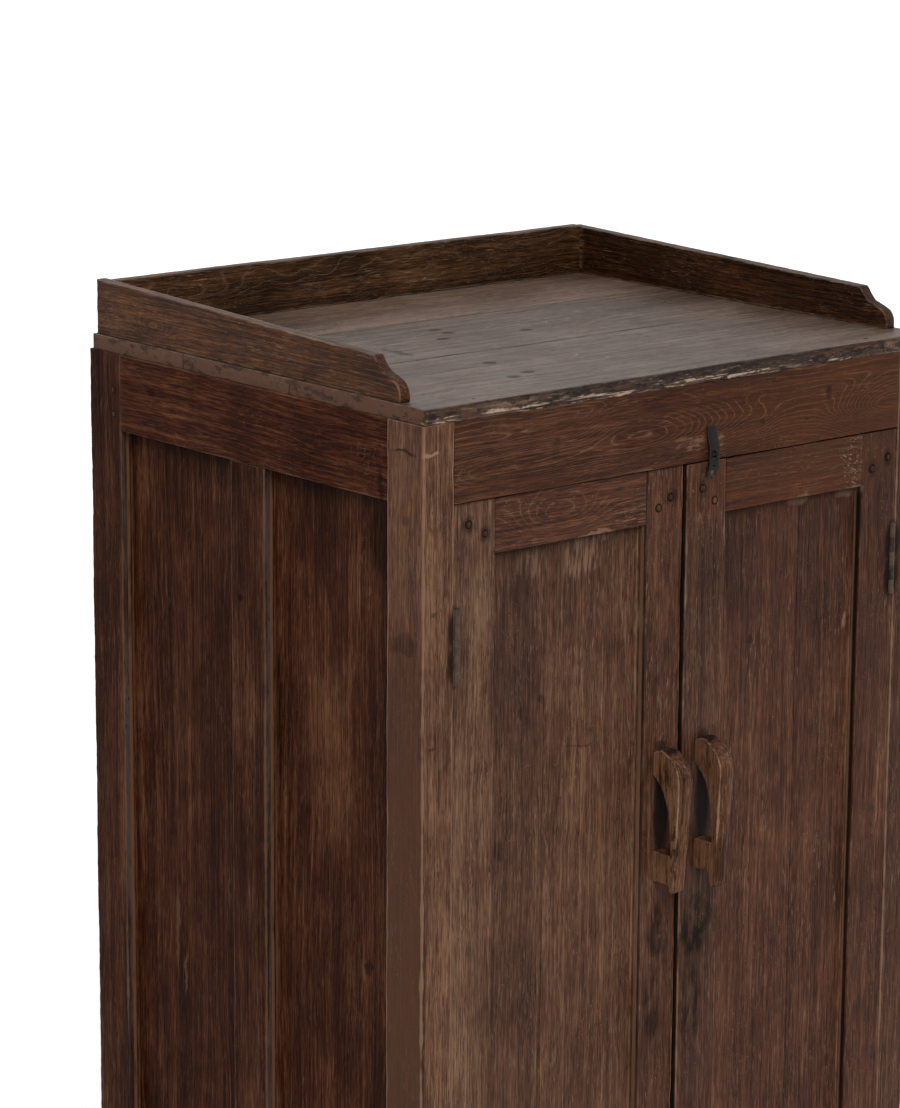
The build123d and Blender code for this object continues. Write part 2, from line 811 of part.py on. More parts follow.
def make_staple():
    """The staple: one bent wire whose two legs are driven into the top rail."""
    low, high = staple_leg_starts()
    inner_y = front_y + staple_depth
    bend_y = front_y - staple_reach + staple_wire_radius + staple_leg_spacing / 2
    tip = (hasp_x, front_y - staple_reach + staple_wire_radius, middle((low[2], high[2])))
    with BuildPart() as staple:
        with BuildLine() as wire:
            Line((hasp_x, inner_y, low[2]), (hasp_x, bend_y, low[2]))
            ThreePointArc((hasp_x, bend_y, low[2]), tip, (hasp_x, bend_y, high[2]))
            Line((hasp_x, bend_y, high[2]), (hasp_x, inner_y, high[2]))
        with BuildSketch(Plane(origin=wire.line @ 0, z_dir=wire.line % 0)):
            Circle(staple_wire_radius)
        sweep()
    finish(staple.part, "hasp_staple")


# Pieces of the doors -------------------------------------------------------------


def door_x(door, near, far):
    """X span between two distances, measured from the door's hinge edge."""
    edge = door_edge_x(door)
    return ordered(edge + door["sign"] * near, edge + door["sign"] * far)


def door_face_y(door):
    """Y of a door's face."""
    return front_y + door["inset"]


def door_y(door):
    """Y span of a door's thickness."""
    return (door_face_y(door), door_face_y(door) + door_thickness)


def door_panel_y(door):
    """Y span of a door's boards, and of its tenons, which are in line with them."""
    start = door_face_y(door) + door_panel_recess
    return (start, start + door_panel_thickness)


def door_rails_z():
    """Z spans of a door's bottom and top rails."""
    return {
        "bottom": (door_z[0], door_z[0] + door_bottom_rail_height),
        "top": (door_z[1] - door_top_rail_height, door_z[1]),
    }


def door_opening_z():
    """Z span between a door's rails."""
    rails = door_rails_z()
    return (rails["bottom"][1], rails["top"][0])


def door_opening(door):
    """Distances of the two stiles' inner edges from the door's hinge edge."""
    return (door["hinge_stile_width"], door_width - door["meeting_stile_width"])


def tenon_ends(door):
    """Distances of the tenons' ends from the door's hinge edge."""
    hinge_end = min(place for place, drop in door["hinge_pegs"]) - door_tenon_past_peg
    meeting_end = min(place for place, drop in door["meeting_pegs"]) - door_tenon_past_peg
    return (hinge_end, door_width - meeting_end)


def door_pegs(door):
    """Starts of a door's pegs, in its face: two in each corner."""
    meeting_pegs = [(door_width - place, drop) for place, drop in door["meeting_pegs"]]
    starts = []
    for pegs in (door["hinge_pegs"], meeting_pegs):
        for (place, drop), rise in zip(pegs, door_bottom_peg_rises):
            x = door_x(door, place, place)[0]
            starts.append((x, door_face_y(door), door_z[1] - drop))
            starts.append((x, door_face_y(door), door_z[0] + rise))
    return starts


def cut_door_pegs(door):
    """Cut the peg holes that a door's stiles and rails share."""
    for start in door_pegs(door):
        round_bar(start, (0, 1, 0), door_peg_radius + peg_clearance, door_thickness, Mode.SUBTRACT)


def cut_hinge_recess(door, bottom):
    """Cut the mortise of one door leaf and the notch that its knuckles turn in."""
    recess_y = (door_face_y(door), door_face_y(door) + leaf_depth + leaf_mortise_clearance)
    recess_z = grow((bottom, bottom + hinge_length), leaf_mortise_clearance)
    slab(door_leaf_x(door), recess_y, recess_z, Mode.SUBTRACT)
    notch_z = grow((bottom, bottom + hinge_length), hinge_pin_tip + knuckle_notch_clearance)
    notch_base = (hinge_axis_x(door), front_y, notch_z[0])
    notch_radius = knuckle_radius + knuckle_notch_clearance
    round_bar(notch_base, (0, 0, 1), notch_radius, notch_z[1] - notch_z[0], Mode.SUBTRACT)


def make_stile(door, kind):
    """A door stile, mortised for both rails and grooved for its board."""
    opening = door_opening(door)
    ends = tenon_ends(door)
    if kind == "hinge":
        x_span = door_x(door, 0, opening[0])
        groove_x = door_x(door, opening[0] - door_groove_depth, opening[0])
        mortise_x = door_x(door, ends[0] - mortise_end_clearance, opening[0])
    else:
        x_span = door_x(door, opening[1], door_width)
        groove_x = door_x(door, opening[1], opening[1] + door_groove_depth)
        mortise_x = door_x(door, opening[1], ends[1] + mortise_end_clearance)
    groove_y = grow(door_panel_y(door), groove_clearance)
    with BuildPart() as stile:
        slab(x_span, door_y(door), door_z)
        slab(groove_x, groove_y, grow(door_opening_z(), door_groove_depth), Mode.SUBTRACT)
        for rail_z in door_rails_z().values():
            mortise_z = grow(rail_z, tenon_clearance - door_tenon_shoulder)
            slab(mortise_x, groove_y, mortise_z, Mode.SUBTRACT)
        cut_door_pegs(door)
        if kind == "hinge":
            for bottom in hinge_bottoms:
                cut_hinge_recess(door, bottom)
            cut_nails(door_leaf_nails(door), hinge_nail_size, hinge_nail_length)
        else:
            cut_handle_nails(door)
            if door is RIGHT:
                cut_nails(hasp_nails(), hasp_nail_size, hasp_nail_length)
    finish(stile.part, f"{door['name']}_{kind}_stile")


def make_door_rail(door, end, rail_z):
    """A door rail, tenoned into both stiles and grooved for the boards."""
    rail_x = door_x(door, *door_opening(door))
    if end == "bottom":
        groove_z = edge_strips(rail_z, door_groove_depth)[1]
    else:
        groove_z = edge_strips(rail_z, door_groove_depth)[0]
    with BuildPart() as rail:
        slab(rail_x, door_y(door), rail_z)
        slab(door_x(door, *tenon_ends(door)), door_panel_y(door), grow(rail_z, -door_tenon_shoulder))
        slab(rail_x, grow(door_panel_y(door), groove_clearance), groove_z, Mode.SUBTRACT)
        cut_door_pegs(door)
        if door is RIGHT and end == "top":
            cut_nails(hasp_nails(), hasp_nail_size, hasp_nail_length)
    finish(rail.part, f"{door['name']}_door_{end}_rail")


def make_door_boards(door):
    """The two upright boards that fill a door's frame."""
    opening = door_opening(door)
    seam = door["hinge_stile_width"] + door["outer_board_width"]
    half_gap = door_board_seam_gap / 2
    in_groove = door_groove_depth - panel_edge_clearance
    spans = {
        "outer": door_x(door, opening[0] - in_groove, seam - half_gap),
        "inner": door_x(door, seam + half_gap, opening[1] + in_groove),
    }
    for kind, x_span in spans.items():
        with BuildPart() as board:
            slab(x_span, door_panel_y(door), grow(door_opening_z(), in_groove))
        finish(board.part, f"{door['name']}_door_{kind}_panel")


def make_door_fasteners(door):
    """The pegs of a door's joints, and the nails of its hinges, handle and hasp."""
    with BuildPart() as pegs:
        for start in door_pegs(door):
            round_bar(start, (0, 1, 0), door_peg_radius, door_thickness)
    finish(pegs.part, f"{door['name']}_door_pegs")
    with BuildPart() as nails:
        add_nails(door_leaf_nails(door), hinge_nail_size, hinge_nail_length)
        for start, length in handle_nails(door):
            nail(start, (0, 1, 0), case_nail_size, length)
        if door is RIGHT:
            add_nails(hasp_nails(), hasp_nail_size, hasp_nail_length)
    finish(nails.part, f"{door['name']}_door_nails")


def make_door_hinge_leaves(door):
    """The two leaves that are let into a door's edge."""
    plate_y = (front_y, door_face_y(door) + leaf_depth)
    own_knuckles = range(1, knuckle_count, 2)
    with BuildPart() as leaves:
        for bottom in hinge_bottoms:
            hinge_leaf(door, bottom, door_leaf_x(door), plate_y, own_knuckles)
        cut_nails(door_leaf_nails(door), hinge_nail_size, hinge_nail_length)
    finish(leaves.part, f"{door['name']}_door_hinge_leaves")


# Handles -------------------------------------------------------------------------


def handle_x(door):
    """X span of a handle, set in from the door's meeting edge."""
    far = door_width - door["handle_setback"]
    return door_x(door, far - handle_width, far)


def handle_nails(door):
    """Starts and lengths of the two nails that hold a handle."""
    x = middle(handle_x(door))
    nails = []
    for drop, reach in zip(handle_nail_drops, handle_nail_head_reaches):
        start = (x, door_face_y(door) - reach, door["handle_top"] - drop)
        nails.append((start, reach + handle_nail_in_door))
    return nails


def cut_handle_nails(door):
    """Cut the holes of a handle's nails, open to the front above their sunk heads."""
    for start, length in handle_nails(door):
        nail_hole(start, (0, 1, 0), case_nail_size, length)
        round_bar(start, (0, -1, 0), nail_head_radius + nail_clearance, handle_reach, Mode.SUBTRACT)


def make_handle(door):
    """A handle carved from one piece: a curved grip that springs from the door at both ends."""
    face = door_face_y(door)
    tip_drop = door["handle_tip_drop"]
    tip_middle_reach = (handle_tip_reach + handle_tail_inner_reach) / 2

    def at(reach, drop):
        return (face - reach, door["handle_top"] - drop)

    crown = at(handle_crown_reach, -handle_crown_rise)
    shoulder = at(handle_reach, handle_curve_drop)
    tip_front = at(handle_tip_reach, tip_drop)
    tip_back = at(handle_tail_inner_reach, tip_drop)
    tail_top = at(handle_tail_inner_reach, handle_block_bottom)
    gap_corner = at(handle_gap_reach, handle_block_drop)
    gap_low = at(handle_gap_reach, handle_gap_curve_drop)
    gap_middle = at(handle_gap_middle_reach, handle_gap_middle_drop)
    gap_high = at(0, handle_gap_drop)
    x_span = handle_x(door)
    with BuildPart() as handle:
        with BuildSketch(Plane.YZ.offset(x_span[0])):
            with BuildLine():
                Line(at(0, 0), crown)
                ThreePointArc(crown, at(handle_brow_reach, handle_brow_drop), shoulder)
                Line(shoulder, tip_front)
                ThreePointArc(tip_front, at(tip_middle_reach, tip_drop + handle_tip_round), tip_back)
                Polyline(tip_back, tail_top, at(0, handle_block_bottom), at(0, handle_block_drop))
                Polyline(at(0, handle_block_drop), gap_corner, gap_low)
                ThreePointArc(gap_low, gap_middle, gap_high)
                Line(gap_high, at(0, 0))
            make_face()
        extrude(amount=x_span[1] - x_span[0])
        cut_handle_nails(door)
    finish(handle.part, f"{door['name']}_handle")


# Hasp ----------------------------------------------------------------------------


def hasp_span_x(width):
    """X span of a given width, centred on the hasp."""
    return (hasp_x - width / 2, hasp_x + width / 2)


def hasp_foot_z():
    """Z span of the hasp's foot plate, below its pin."""
    top = hasp_axis_z - hasp_foot_gap
    return (top - hasp_foot_height, top)


def hasp_nails():
    """Starts and direction of the two nails through the hasp's foot."""
    y = door_face_y(RIGHT) - hasp_foot_thickness
    starts = [(x, y, middle(hasp_foot_z())) for x in hasp_span_x(hasp_nail_spacing)]
    return starts, (0, 1, 0)


def cut_hasp_bore():
    """Cut the bore of the hasp's pin."""
    bore_start = (hasp_x - hasp_width, hasp_axis_y, hasp_axis_z)
    round_bar(bore_start, (1, 0, 0), hasp_pin_radius + hasp_pin_clearance, 2 * hasp_width, Mode.SUBTRACT)


def make_hasp_foot():
    """The nailed foot of the hasp, with the middle knuckle of its hinge."""
    face = door_face_y(RIGHT)
    knuckle_x = hasp_span_x(hasp_knuckle_width)
    foot_z = hasp_foot_z()
    with BuildPart() as foot:
        slab(hasp_span_x(hasp_width), (face - hasp_foot_thickness, face), foot_z)
        slab(knuckle_x, (face - hasp_web_thickness, face), (foot_z[0], hasp_axis_z))
        knuckle_start = (knuckle_x[0], hasp_axis_y, hasp_axis_z)
        round_bar(knuckle_start, (1, 0, 0), hasp_knuckle_radius, hasp_knuckle_width)
        cut_hasp_bore()
        cut_nails(hasp_nails(), hasp_nail_size, hasp_nail_length)
    finish(foot.part, "hasp_foot")


def make_hasp_strap():
    """The hasp's strap: bowed round the staple, slotted for it, and hinged on the pin."""
    face = door_face_y(RIGHT)
    bow_front = face - hasp_bow_reach
    bow_back = bow_front + hasp_thickness
    tip_back = face - hasp_face_gap
    tip_front = tip_back - hasp_thickness
    root_front = hasp_axis_y - hasp_knuckle_radius
    root_back = root_front + hasp_thickness

    def at(y, rise):
        return (y, hasp_axis_z + rise)

    outline = (
        at(root_front, 0),
        at(bow_front, hasp_bow_start),
        at(bow_front, hasp_bow_end),
        at(tip_front, hasp_tip_start),
        at(tip_front, hasp_length),
        at(tip_back, hasp_length),
        at(tip_back, hasp_tip_start),
        at(bow_back, hasp_bow_end),
        at(bow_back, hasp_bow_start),
        at(root_back, 0),
    )
    strap_x = hasp_span_x(hasp_width)
    middle_x = grow(hasp_span_x(hasp_knuckle_width), hasp_knuckle_gap)
    knuckle_start = (strap_x[0], hasp_axis_y, hasp_axis_z)
    notch_start = (middle_x[0], hasp_axis_y, hasp_axis_z)
    staple_z = grow((hasp_axis_z + staple_rise, hasp_axis_z + staple_rise), staple_half_height)
    slot_z = (staple_z[0] - hasp_slot_room_below, staple_z[1] + hasp_slot_room_above)
    with BuildPart() as strap:
        with BuildSketch(Plane.YZ.offset(strap_x[0])):
            with BuildLine():
                Polyline(*outline, close=True)
            make_face()
        extrude(amount=hasp_width)
        round_bar(knuckle_start, (1, 0, 0), hasp_knuckle_radius, hasp_width)
        notch_radius = hasp_knuckle_radius + hasp_knuckle_gap
        round_bar(notch_start, (1, 0, 0), notch_radius, middle_x[1] - middle_x[0], Mode.SUBTRACT)
        slab(middle_x, (bow_front, root_back), (hasp_axis_z, hasp_axis_z + hasp_notch_rise), Mode.SUBTRACT)
        slab(hasp_span_x(hasp_slot_width), (bow_front, face), slot_z, Mode.SUBTRACT)
        cut_hasp_bore()
    finish(strap.part, "hasp_strap")


def make_hasp_pin():
    """The pin that the hasp's strap turns on."""
    with BuildPart() as pin:
        pin_start = (hasp_span_x(hasp_width)[0], hasp_axis_y, hasp_axis_z)
        round_bar(pin_start, (1, 0, 0), hasp_pin_radius, hasp_width)
    finish(pin.part, "hasp_pin")


os.makedirs("parts", exist_ok=True)

for side in SIDES:
    make_post(side, "front")
    make_post(side, "rear")
    make_side_rail(side, "bottom", bottom_rail_z)
    make_side_rail(side, "top", top_rail_z)
    make_side_muntin(side)
    make_gallery_side(side)
for end, rail_z in (("bottom", bottom_rail_z), ("top", top_rail_z)):
    make_front_rail(end, rail_z)
    make_rear_rail(end, rail_z)
make_rear_muntin()
make_case_panels()
make_top_planks()
make_gallery_back()
make_floor()
for name, top in zip(("lower_shelf", "upper_shelf"), shelf_tops):
    make_shelf(name, top)
make_bearers()
make_case_fasteners()
make_frame_hinge_parts()
make_staple()

for door in DOORS:
    make_stile(door, "hinge")
    make_stile(door, "meeting")
    for end, rail_z in door_rails_z().items():
        make_door_rail(door, end, rail_z)
    make_door_boards(door)
    make_door_fasteners(door)
    make_door_hinge_leaves(door)
    make_handle(door)
make_hasp_foot()
make_hasp_strap()
make_hasp_pin()
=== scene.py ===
"""Looks of a tall two-door cupboard in old teak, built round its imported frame.

Lengths are in metres, and a length in millimetres is multiplied by MM. The marks on a finish
are placed in millimetres.
"""

import functools
import math
import operator
import random
import zlib

import bmesh
import bpy
import numpy as np
from mathutils import Matrix, Vector, noise


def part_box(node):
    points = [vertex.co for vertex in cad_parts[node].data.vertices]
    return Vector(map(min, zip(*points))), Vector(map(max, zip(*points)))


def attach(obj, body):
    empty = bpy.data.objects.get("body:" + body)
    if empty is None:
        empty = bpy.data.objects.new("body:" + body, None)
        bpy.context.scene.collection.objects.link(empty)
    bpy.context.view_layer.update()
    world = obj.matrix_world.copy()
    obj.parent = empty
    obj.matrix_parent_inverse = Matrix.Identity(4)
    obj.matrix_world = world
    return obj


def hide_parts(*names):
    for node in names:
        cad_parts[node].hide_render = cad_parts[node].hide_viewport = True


MM = 0.001
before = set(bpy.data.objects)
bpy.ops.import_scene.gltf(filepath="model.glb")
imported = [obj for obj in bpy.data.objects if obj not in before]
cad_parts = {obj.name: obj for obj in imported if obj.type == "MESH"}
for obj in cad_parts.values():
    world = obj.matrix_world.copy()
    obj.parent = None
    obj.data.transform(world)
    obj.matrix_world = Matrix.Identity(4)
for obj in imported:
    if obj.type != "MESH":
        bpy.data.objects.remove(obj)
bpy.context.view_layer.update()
scene = bpy.context.scene
finishes = {}


def link(name, data):
    """Put a new object into the scene."""
    made = bpy.data.objects.new(name, data)
    scene.collection.objects.link(made)
    return made


# Camera --------------------------------------------


def place_camera():
    yaw, pitch, roll = (math.radians(angle) for angle in (40.389, 12.994, -0.359))
    level = math.cos(pitch)
    forward = Vector((math.sin(yaw) * level, math.cos(yaw) * level, -math.sin(pitch)))
    right = Vector((math.cos(yaw), -math.sin(yaw), 0))
    down = forward.cross(right)
    across = right * math.cos(roll) + down * math.sin(roll)
    downward = down * math.cos(roll) - right * math.sin(roll)
    data = bpy.data.cameras.new("camera")
    data.lens = 127.71
    data.sensor_width = 36
    data.shift_x, data.shift_y = -0.0045, -0.0049
    data.clip_end = 200
    turn = Matrix((across, -downward, -forward)).transposed().to_4x4()
    scene.camera = link("camera", data)
    scene.camera.matrix_world = Matrix.Translation(Vector((-3570.1, -4057.0, 2471.6)) * MM) @ turn


place_camera()

# Shader sockets with arithmetic --------------------


class Tone:
    """A socket in a finish's nodes. Arithmetic on it adds Math nodes."""

    def __init__(self, tree, socket=None):
        self.tree = tree
        self.socket = socket

    def node(self, kind, settings=None, values=None, out=0):
        """Add a node: first its settings, then the values or links of its sockets."""
        made = self.tree.nodes.new("ShaderNode" + kind)
        for key, value in (settings or {}).items():
            if key == "stops":
                ramp = made.color_ramp
                while len(ramp.elements) < len(value):
                    ramp.elements.new(0.5)
                for stop, (place, colour) in zip(ramp.elements, value):
                    stop.position = place
                    stop.color = (*colour, 1)
            else:
                setattr(made, key, value)
        for key, value in (values or {}).items():
            if isinstance(value, Tone):
                self.tree.links.new(value.socket, made.inputs[key])
            else:
                made.inputs[key].default_value = value
        return Tone(self.tree, made.outputs[out]) if made.outputs else None

    def maths(self, operation, *values):
        return self.node("Math", {"operation": operation}, dict(enumerate(values)))

    def __add__(self, other):
        return self.maths("ADD", self, other)

    def __sub__(self, other):
        return self.maths("SUBTRACT", self, other)

    def __rsub__(self, other):
        return self.maths("SUBTRACT", other, self)

    def __mul__(self, other):
        return self.maths("MULTIPLY", self, other)

    def __abs__(self):
        return self.maths("ABSOLUTE", self)

    __radd__ = __add__
    __rmul__ = __mul__


def step(value, low, high):
    """A soft step from 0 at low to 1 at high."""
    settings = {"interpolation_type": "SMOOTHSTEP"}
    return value.node("MapRange", settings, {0: value, 1: low, 2: high})


def mixed(factor, first, second):
    """Two colours mixed by a factor. The second may be three numbers."""
    if isinstance(second, tuple):
        second = (*second, 1)
    return factor.node("Mix", {"data_type": "RGBA"}, {0: factor, 6: first, 7: second}, out=2)


def tinted(colour, gains):
    """A colour with its channels multiplied."""
    settings = {"data_type": "RGBA", "blend_type": "MULTIPLY"}
    return colour.node("Mix", settings, {0: 1.0, 6: colour, 7: (*gains, 1)}, out=2)


def vector(operation, first, second, out=0):
    return first.node("VectorMath", {"operation": operation}, {0: first, 1: second}, out)


def turned(place, axis, angle):
    values = {"Vector": place, "Axis": axis, "Angle": angle}
    return place.node("VectorRotate", {"rotation_type": "AXIS_ANGLE"}, values)


def speckle(place, scale, detail=3.0, rough=0.6, shift=0.0):
    """Noise with so many cells per metre, along every axis or along each."""
    moved = vector("ADD", place, (shift, shift * 1.7, shift * 0.6))
    stretched = vector("MULTIPLY", moved, scale if isinstance(scale, tuple) else (scale,) * 3)
    values = {"Vector": stretched, "Scale": 1.0, "Detail": detail, "Roughness": rough}
    return place.node("TexNoise", None, values)


def axes(place):
    """The three numbers of a vector."""
    return [place.node("SeparateXYZ", None, {0: place}, out=index) for index in range(3)]


def aside(place):
    """How far a place is from the middle, to the left or the right."""
    return abs(axes(place)[0])


def most(*tones):
    """The highest of several tones."""
    return functools.reduce(lambda first, second: first.maths("MAXIMUM", first, second), tones)


def total(tones):
    return functools.reduce(operator.add, tones)


def spot(place, centre, radii, soft=0.35):
    """1 inside an ellipsoid given in millimetres, falling to 0 round it."""
    offset = vector("SUBTRACT", place, tuple(value * MM for value in centre))
    scaled = vector("MULTIPLY", offset, tuple(1 / (value * MM) for value in radii))
    far = scaled.node("VectorMath", {"operation": "LENGTH"}, {0: scaled}, out=1)
    return 1 - step(far, 1 - soft, 1 + soft)


def laid(axis, level, reach, *rows):
    """Centres, radii and strengths of spots on a surface across an axis, at one level.

    A row holds a spot's other two places, its radii along them and its strength.
    """
    index = "xyz".index(axis)
    for first, second, wide, high, strength in rows:
        centre, radii = [first, second], [wide, high]
        centre.insert(index, level)
        radii.insert(index, reach)
        yield centre, radii, strength


def spots(place, *surface):
    """The strongest of several spots. What follows the place is as in laid."""
    return most(*(spot(place, centre, radii) * strength
                  for centre, radii, strength in laid(*surface)))


def hills(place, *surface):
    """Smooth rises that turn the growth rings round them into closed loops."""
    return total(spot(place, centre, radii, 0.92) * height
                 for centre, radii, height in laid(*surface))


def shades(place, *rows):
    """Soft spots added up. A row holds a centre, radii, a softness and a strength."""
    return total(spot(place, centre, radii, soft) * strength
                 for centre, radii, soft, strength in rows)


def new_finish(name):
    material = bpy.data.materials.new(name)
    material.use_nodes = True
    tree = material.node_tree
    tree.nodes.clear()
    return material, Tone(tree)


def carried(start, name, out=2):
    """What a piece carries under a name: out 2 for a number, 1 for a vector."""
    return start.node("Attribute", {"attribute_name": name}, None, out)


def end_finish(start, sockets, height, distance, strength):
    """Close a finish with a Principled shader, fed by its sockets and a bump."""
    values = {"Height": height, "Distance": distance, "Strength": strength}
    sockets["Normal"] = start.node("Bump", None, values)
    shader = start.node("BsdfPrincipled", None, sockets)
    start.node("OutputMaterial", None, {"Surface": shader})


# Teak ----------------------------------------------

PALE = (0.22, 0.135, 0.085)
DARK = (0.015, 0.0075, 0.005)
RUSTY = (1.0, 0.74, 0.47)
BROWN_STAIN = (0.082, 0.030, 0.0105)
# the deep and pale colours of a painted sheen
SHEEN_DARK, SHEEN_PALE = (0.020, 0.0135, 0.0125), (0.064, 0.049, 0.047)


def teak(name, ramp, shine, rough, pale=PALE, dark=DARK, marks=None, ring_count=95,
         wear_and_highlight_tone=(0.25, 0.145, 0.09), patchy=1.0, crisp=1.0, banded=1.0,
         warmth=(1.24, 0.88, 0.70)):
    """A worn teak finish.

    Each board carries its grain (metres along, across and through the board), a board
    vector (lighter, redder, more figured), how worn it is, with painted highlights, and how
    grimy, with painted shade. A negative redder paints a cool grey sheen. marks gives
    what is added in certain places, by name.
    """
    finishes[name], start = new_finish(name)
    place = start.node("TexCoord", out=3)
    grain = carried(start, "grain", 1)
    lighter, redder, figured = axes(carried(start, "board", 1))
    wear, grime = carried(start, "wear"), carried(start, "grime")
    values = {"Vector": place, "Scale": 42.0, "Detail": 3.0, "Roughness": 0.6}
    cloudy = vector("SUBTRACT", place.node("TexNoise", None, values, out=1), (0.5, 0.5, 0.5))
    ragged = vector("ADD", place, vector("MULTIPLY", cloudy, (22 * MM,) * 3))
    found = marks(place, ragged) if marks else {}

    def marked(tone, operation, key):
        return tone.maths(operation, tone, found[key]) if key in found else tone

    # the grain wanders a little from side to side
    bend = speckle(grain, (1.6, 7, 7), 2.0, 0.5) - 0.5
    shake = speckle(grain, (9, 34, 34), 2.0, 0.5, 3.1) - 0.5
    drift = bend * 0.022 + shake * 0.0022
    fibres = vector("ADD", grain, start.node("CombineXYZ", None, {1: drift, 2: drift}))
    _, across, through = axes(grain)

    # growth rings, as the contours of a slow field
    rings = (across + through * 0.6) * ring_count
    rings = rings + bend * (figured * 19 + 3) + shake * (figured * 1.8 + 0.6)
    rings = marked(rings, "ADD", "ring")
    crest = abs(rings.maths("FRACT", rings) - 0.5) * 2
    line = step(crest, 0.80, 0.97)
    line = line * step(speckle(fibres, (45, 420, 420), 2.0, 0.6, 5.2), 0.32, 0.58)
    line = line * step(speckle(grain, (6, 24, 24), 2.0, 0.5, 9.0), 0.28, 0.56)

    # fibres, pores and clouds
    fibre = speckle(fibres, (5.5, 260, 260), 4.0, 0.72) - 0.5
    thread = speckle(fibres, (34, 520, 520), 2.0, 0.65, 2.0) - 0.5
    streak = speckle(fibres, (1.5, 85, 85), shift=7.7) - 0.5
    cloud = speckle(grain, (3.4, 13, 13), 3.0, 0.55, 4.4) - 0.5
    patina = speckle(place, 7, 4.0, 0.62, 1.3) - 0.5
    tone = 0.5 + fibre * (1.05 * crisp) + thread * (1.25 * crisp) + streak * (0.62 * banded)
    tone = tone + cloud * (0.62 * patchy) + patina * (0.60 * patchy)
    tone = marked(tone + (crest - 0.5) * (figured * 0.12) + lighter, "ADD", "tone")
    colour = start.node("ValToRGB", {"stops": ramp}, {0: tone})
    colour = mixed(redder, colour, tinted(colour, warmth))
    if "warm" in found:
        colour = mixed(found["warm"], colour, tinted(colour, RUSTY))
    # a negative redder mixes in a cool grey: a painted sheen
    streaky = step(streak + fibre * 1.6 + cloud * 1.2, -0.24, 0.24)
    painted_sheen = mixed(streaky, (*SHEEN_DARK, 1), SHEEN_PALE)
    colour = mixed((0 - redder) * (fibre * 1.2 + 0.74), colour, painted_sheen)

    # dark pores, pale ring lines, scratches and flecks
    pores = step(speckle(fibres, (75, 620, 620), 1.0, 0.5, 6.6), 0.57, 0.68)
    pores = pores * step(speckle(grain, (11, 40, 40), 2.0, 0.6, 3.9), 0.38, 0.62)
    colour = mixed(pores * (0.78 * crisp), colour, dark)
    silver = step(speckle(fibres, (55, 560, 560), 1.0, 0.5, 11.0), 0.60, 0.71)
    silver = silver * step(speckle(grain, (9, 32, 32), 2.0, 0.6, 8.8), 0.44, 0.66)
    lines = most(line * (figured * 0.54 + 0.05), silver * (0.50 * crisp))
    colour = mixed(lines, colour, pale)
    cuts = []
    for axis, angle, shift, count in (((0.3, 1, 0.2), 0.55, 8.0, 640),
                                      ((-0.2, 1, 0.4), -0.9, 2.5, 700)):
        cut = speckle(turned(place, axis, angle), (count, count, 18), 1.0, 0.5, shift)
        cuts.append(step(cut, 0.69, 0.76))
    scratch = most(*cuts) * step(speckle(place, 9, 2.0, 0.5, 6.0), 0.44, 0.62)
    cell = start.node("TexVoronoi", None, {"Vector": place, "Scale": 62.0})
    fleck = 1 - step(cell, 0.030, 0.075)
    fleck = fleck * step(speckle(place, 23, 1.0, 0.5, 1.0), 0.55, 0.61)
    if "stain" in found:
        colour = mixed(found["stain"], colour, BROWN_STAIN)
    colour = mixed(marked(most(scratch * 0.42, fleck * 0.7), "MAXIMUM", "bright"), colour, pale)

    # worn arrises with painted highlights, and grime with painted shade
    rub = step(speckle(grain, (13, 50, 50), 3.0, 0.62, 0.7) + wear * 0.42, 0.74, 1.02)
    rub = marked(rub, "MAXIMUM", "rub")
    colour = mixed(rub * 0.60, colour, wear_and_highlight_tone)
    dirt = grime * (speckle(place, 30, shift=2.2) * 0.9 + 0.55)
    dirt = marked(dirt, "MAXIMUM", "dirt")
    dirt = dirt.maths("MINIMUM", dirt, 0.93)
    colour = mixed(dirt, colour, tuple(value * 0.30 for value in dark))

    roughness = speckle(place, 14, shift=3.3) * 0.22 + (rough - 0.11)
    roughness = roughness + dirt * 0.25 - rub * 0.10 - fibre * 0.25
    height = fibre * 0.55 + thread * 0.7 - pores * 0.6 - line * 0.25 - scratch * 0.35 + patina
    sockets = {"Base Color": colour, "Roughness": roughness, "Specular IOR Level": shine}
    end_finish(start, sockets, height, distance=1.1 * MM, strength=0.5)


# Marks. Each function takes a place and the same place shaken a little, for ragged edges.

HINGES_X = (-402.6, 402.6)
HINGES_Z = (296, 340, 1192, 1236)  # a little above and below the middle of each hinge


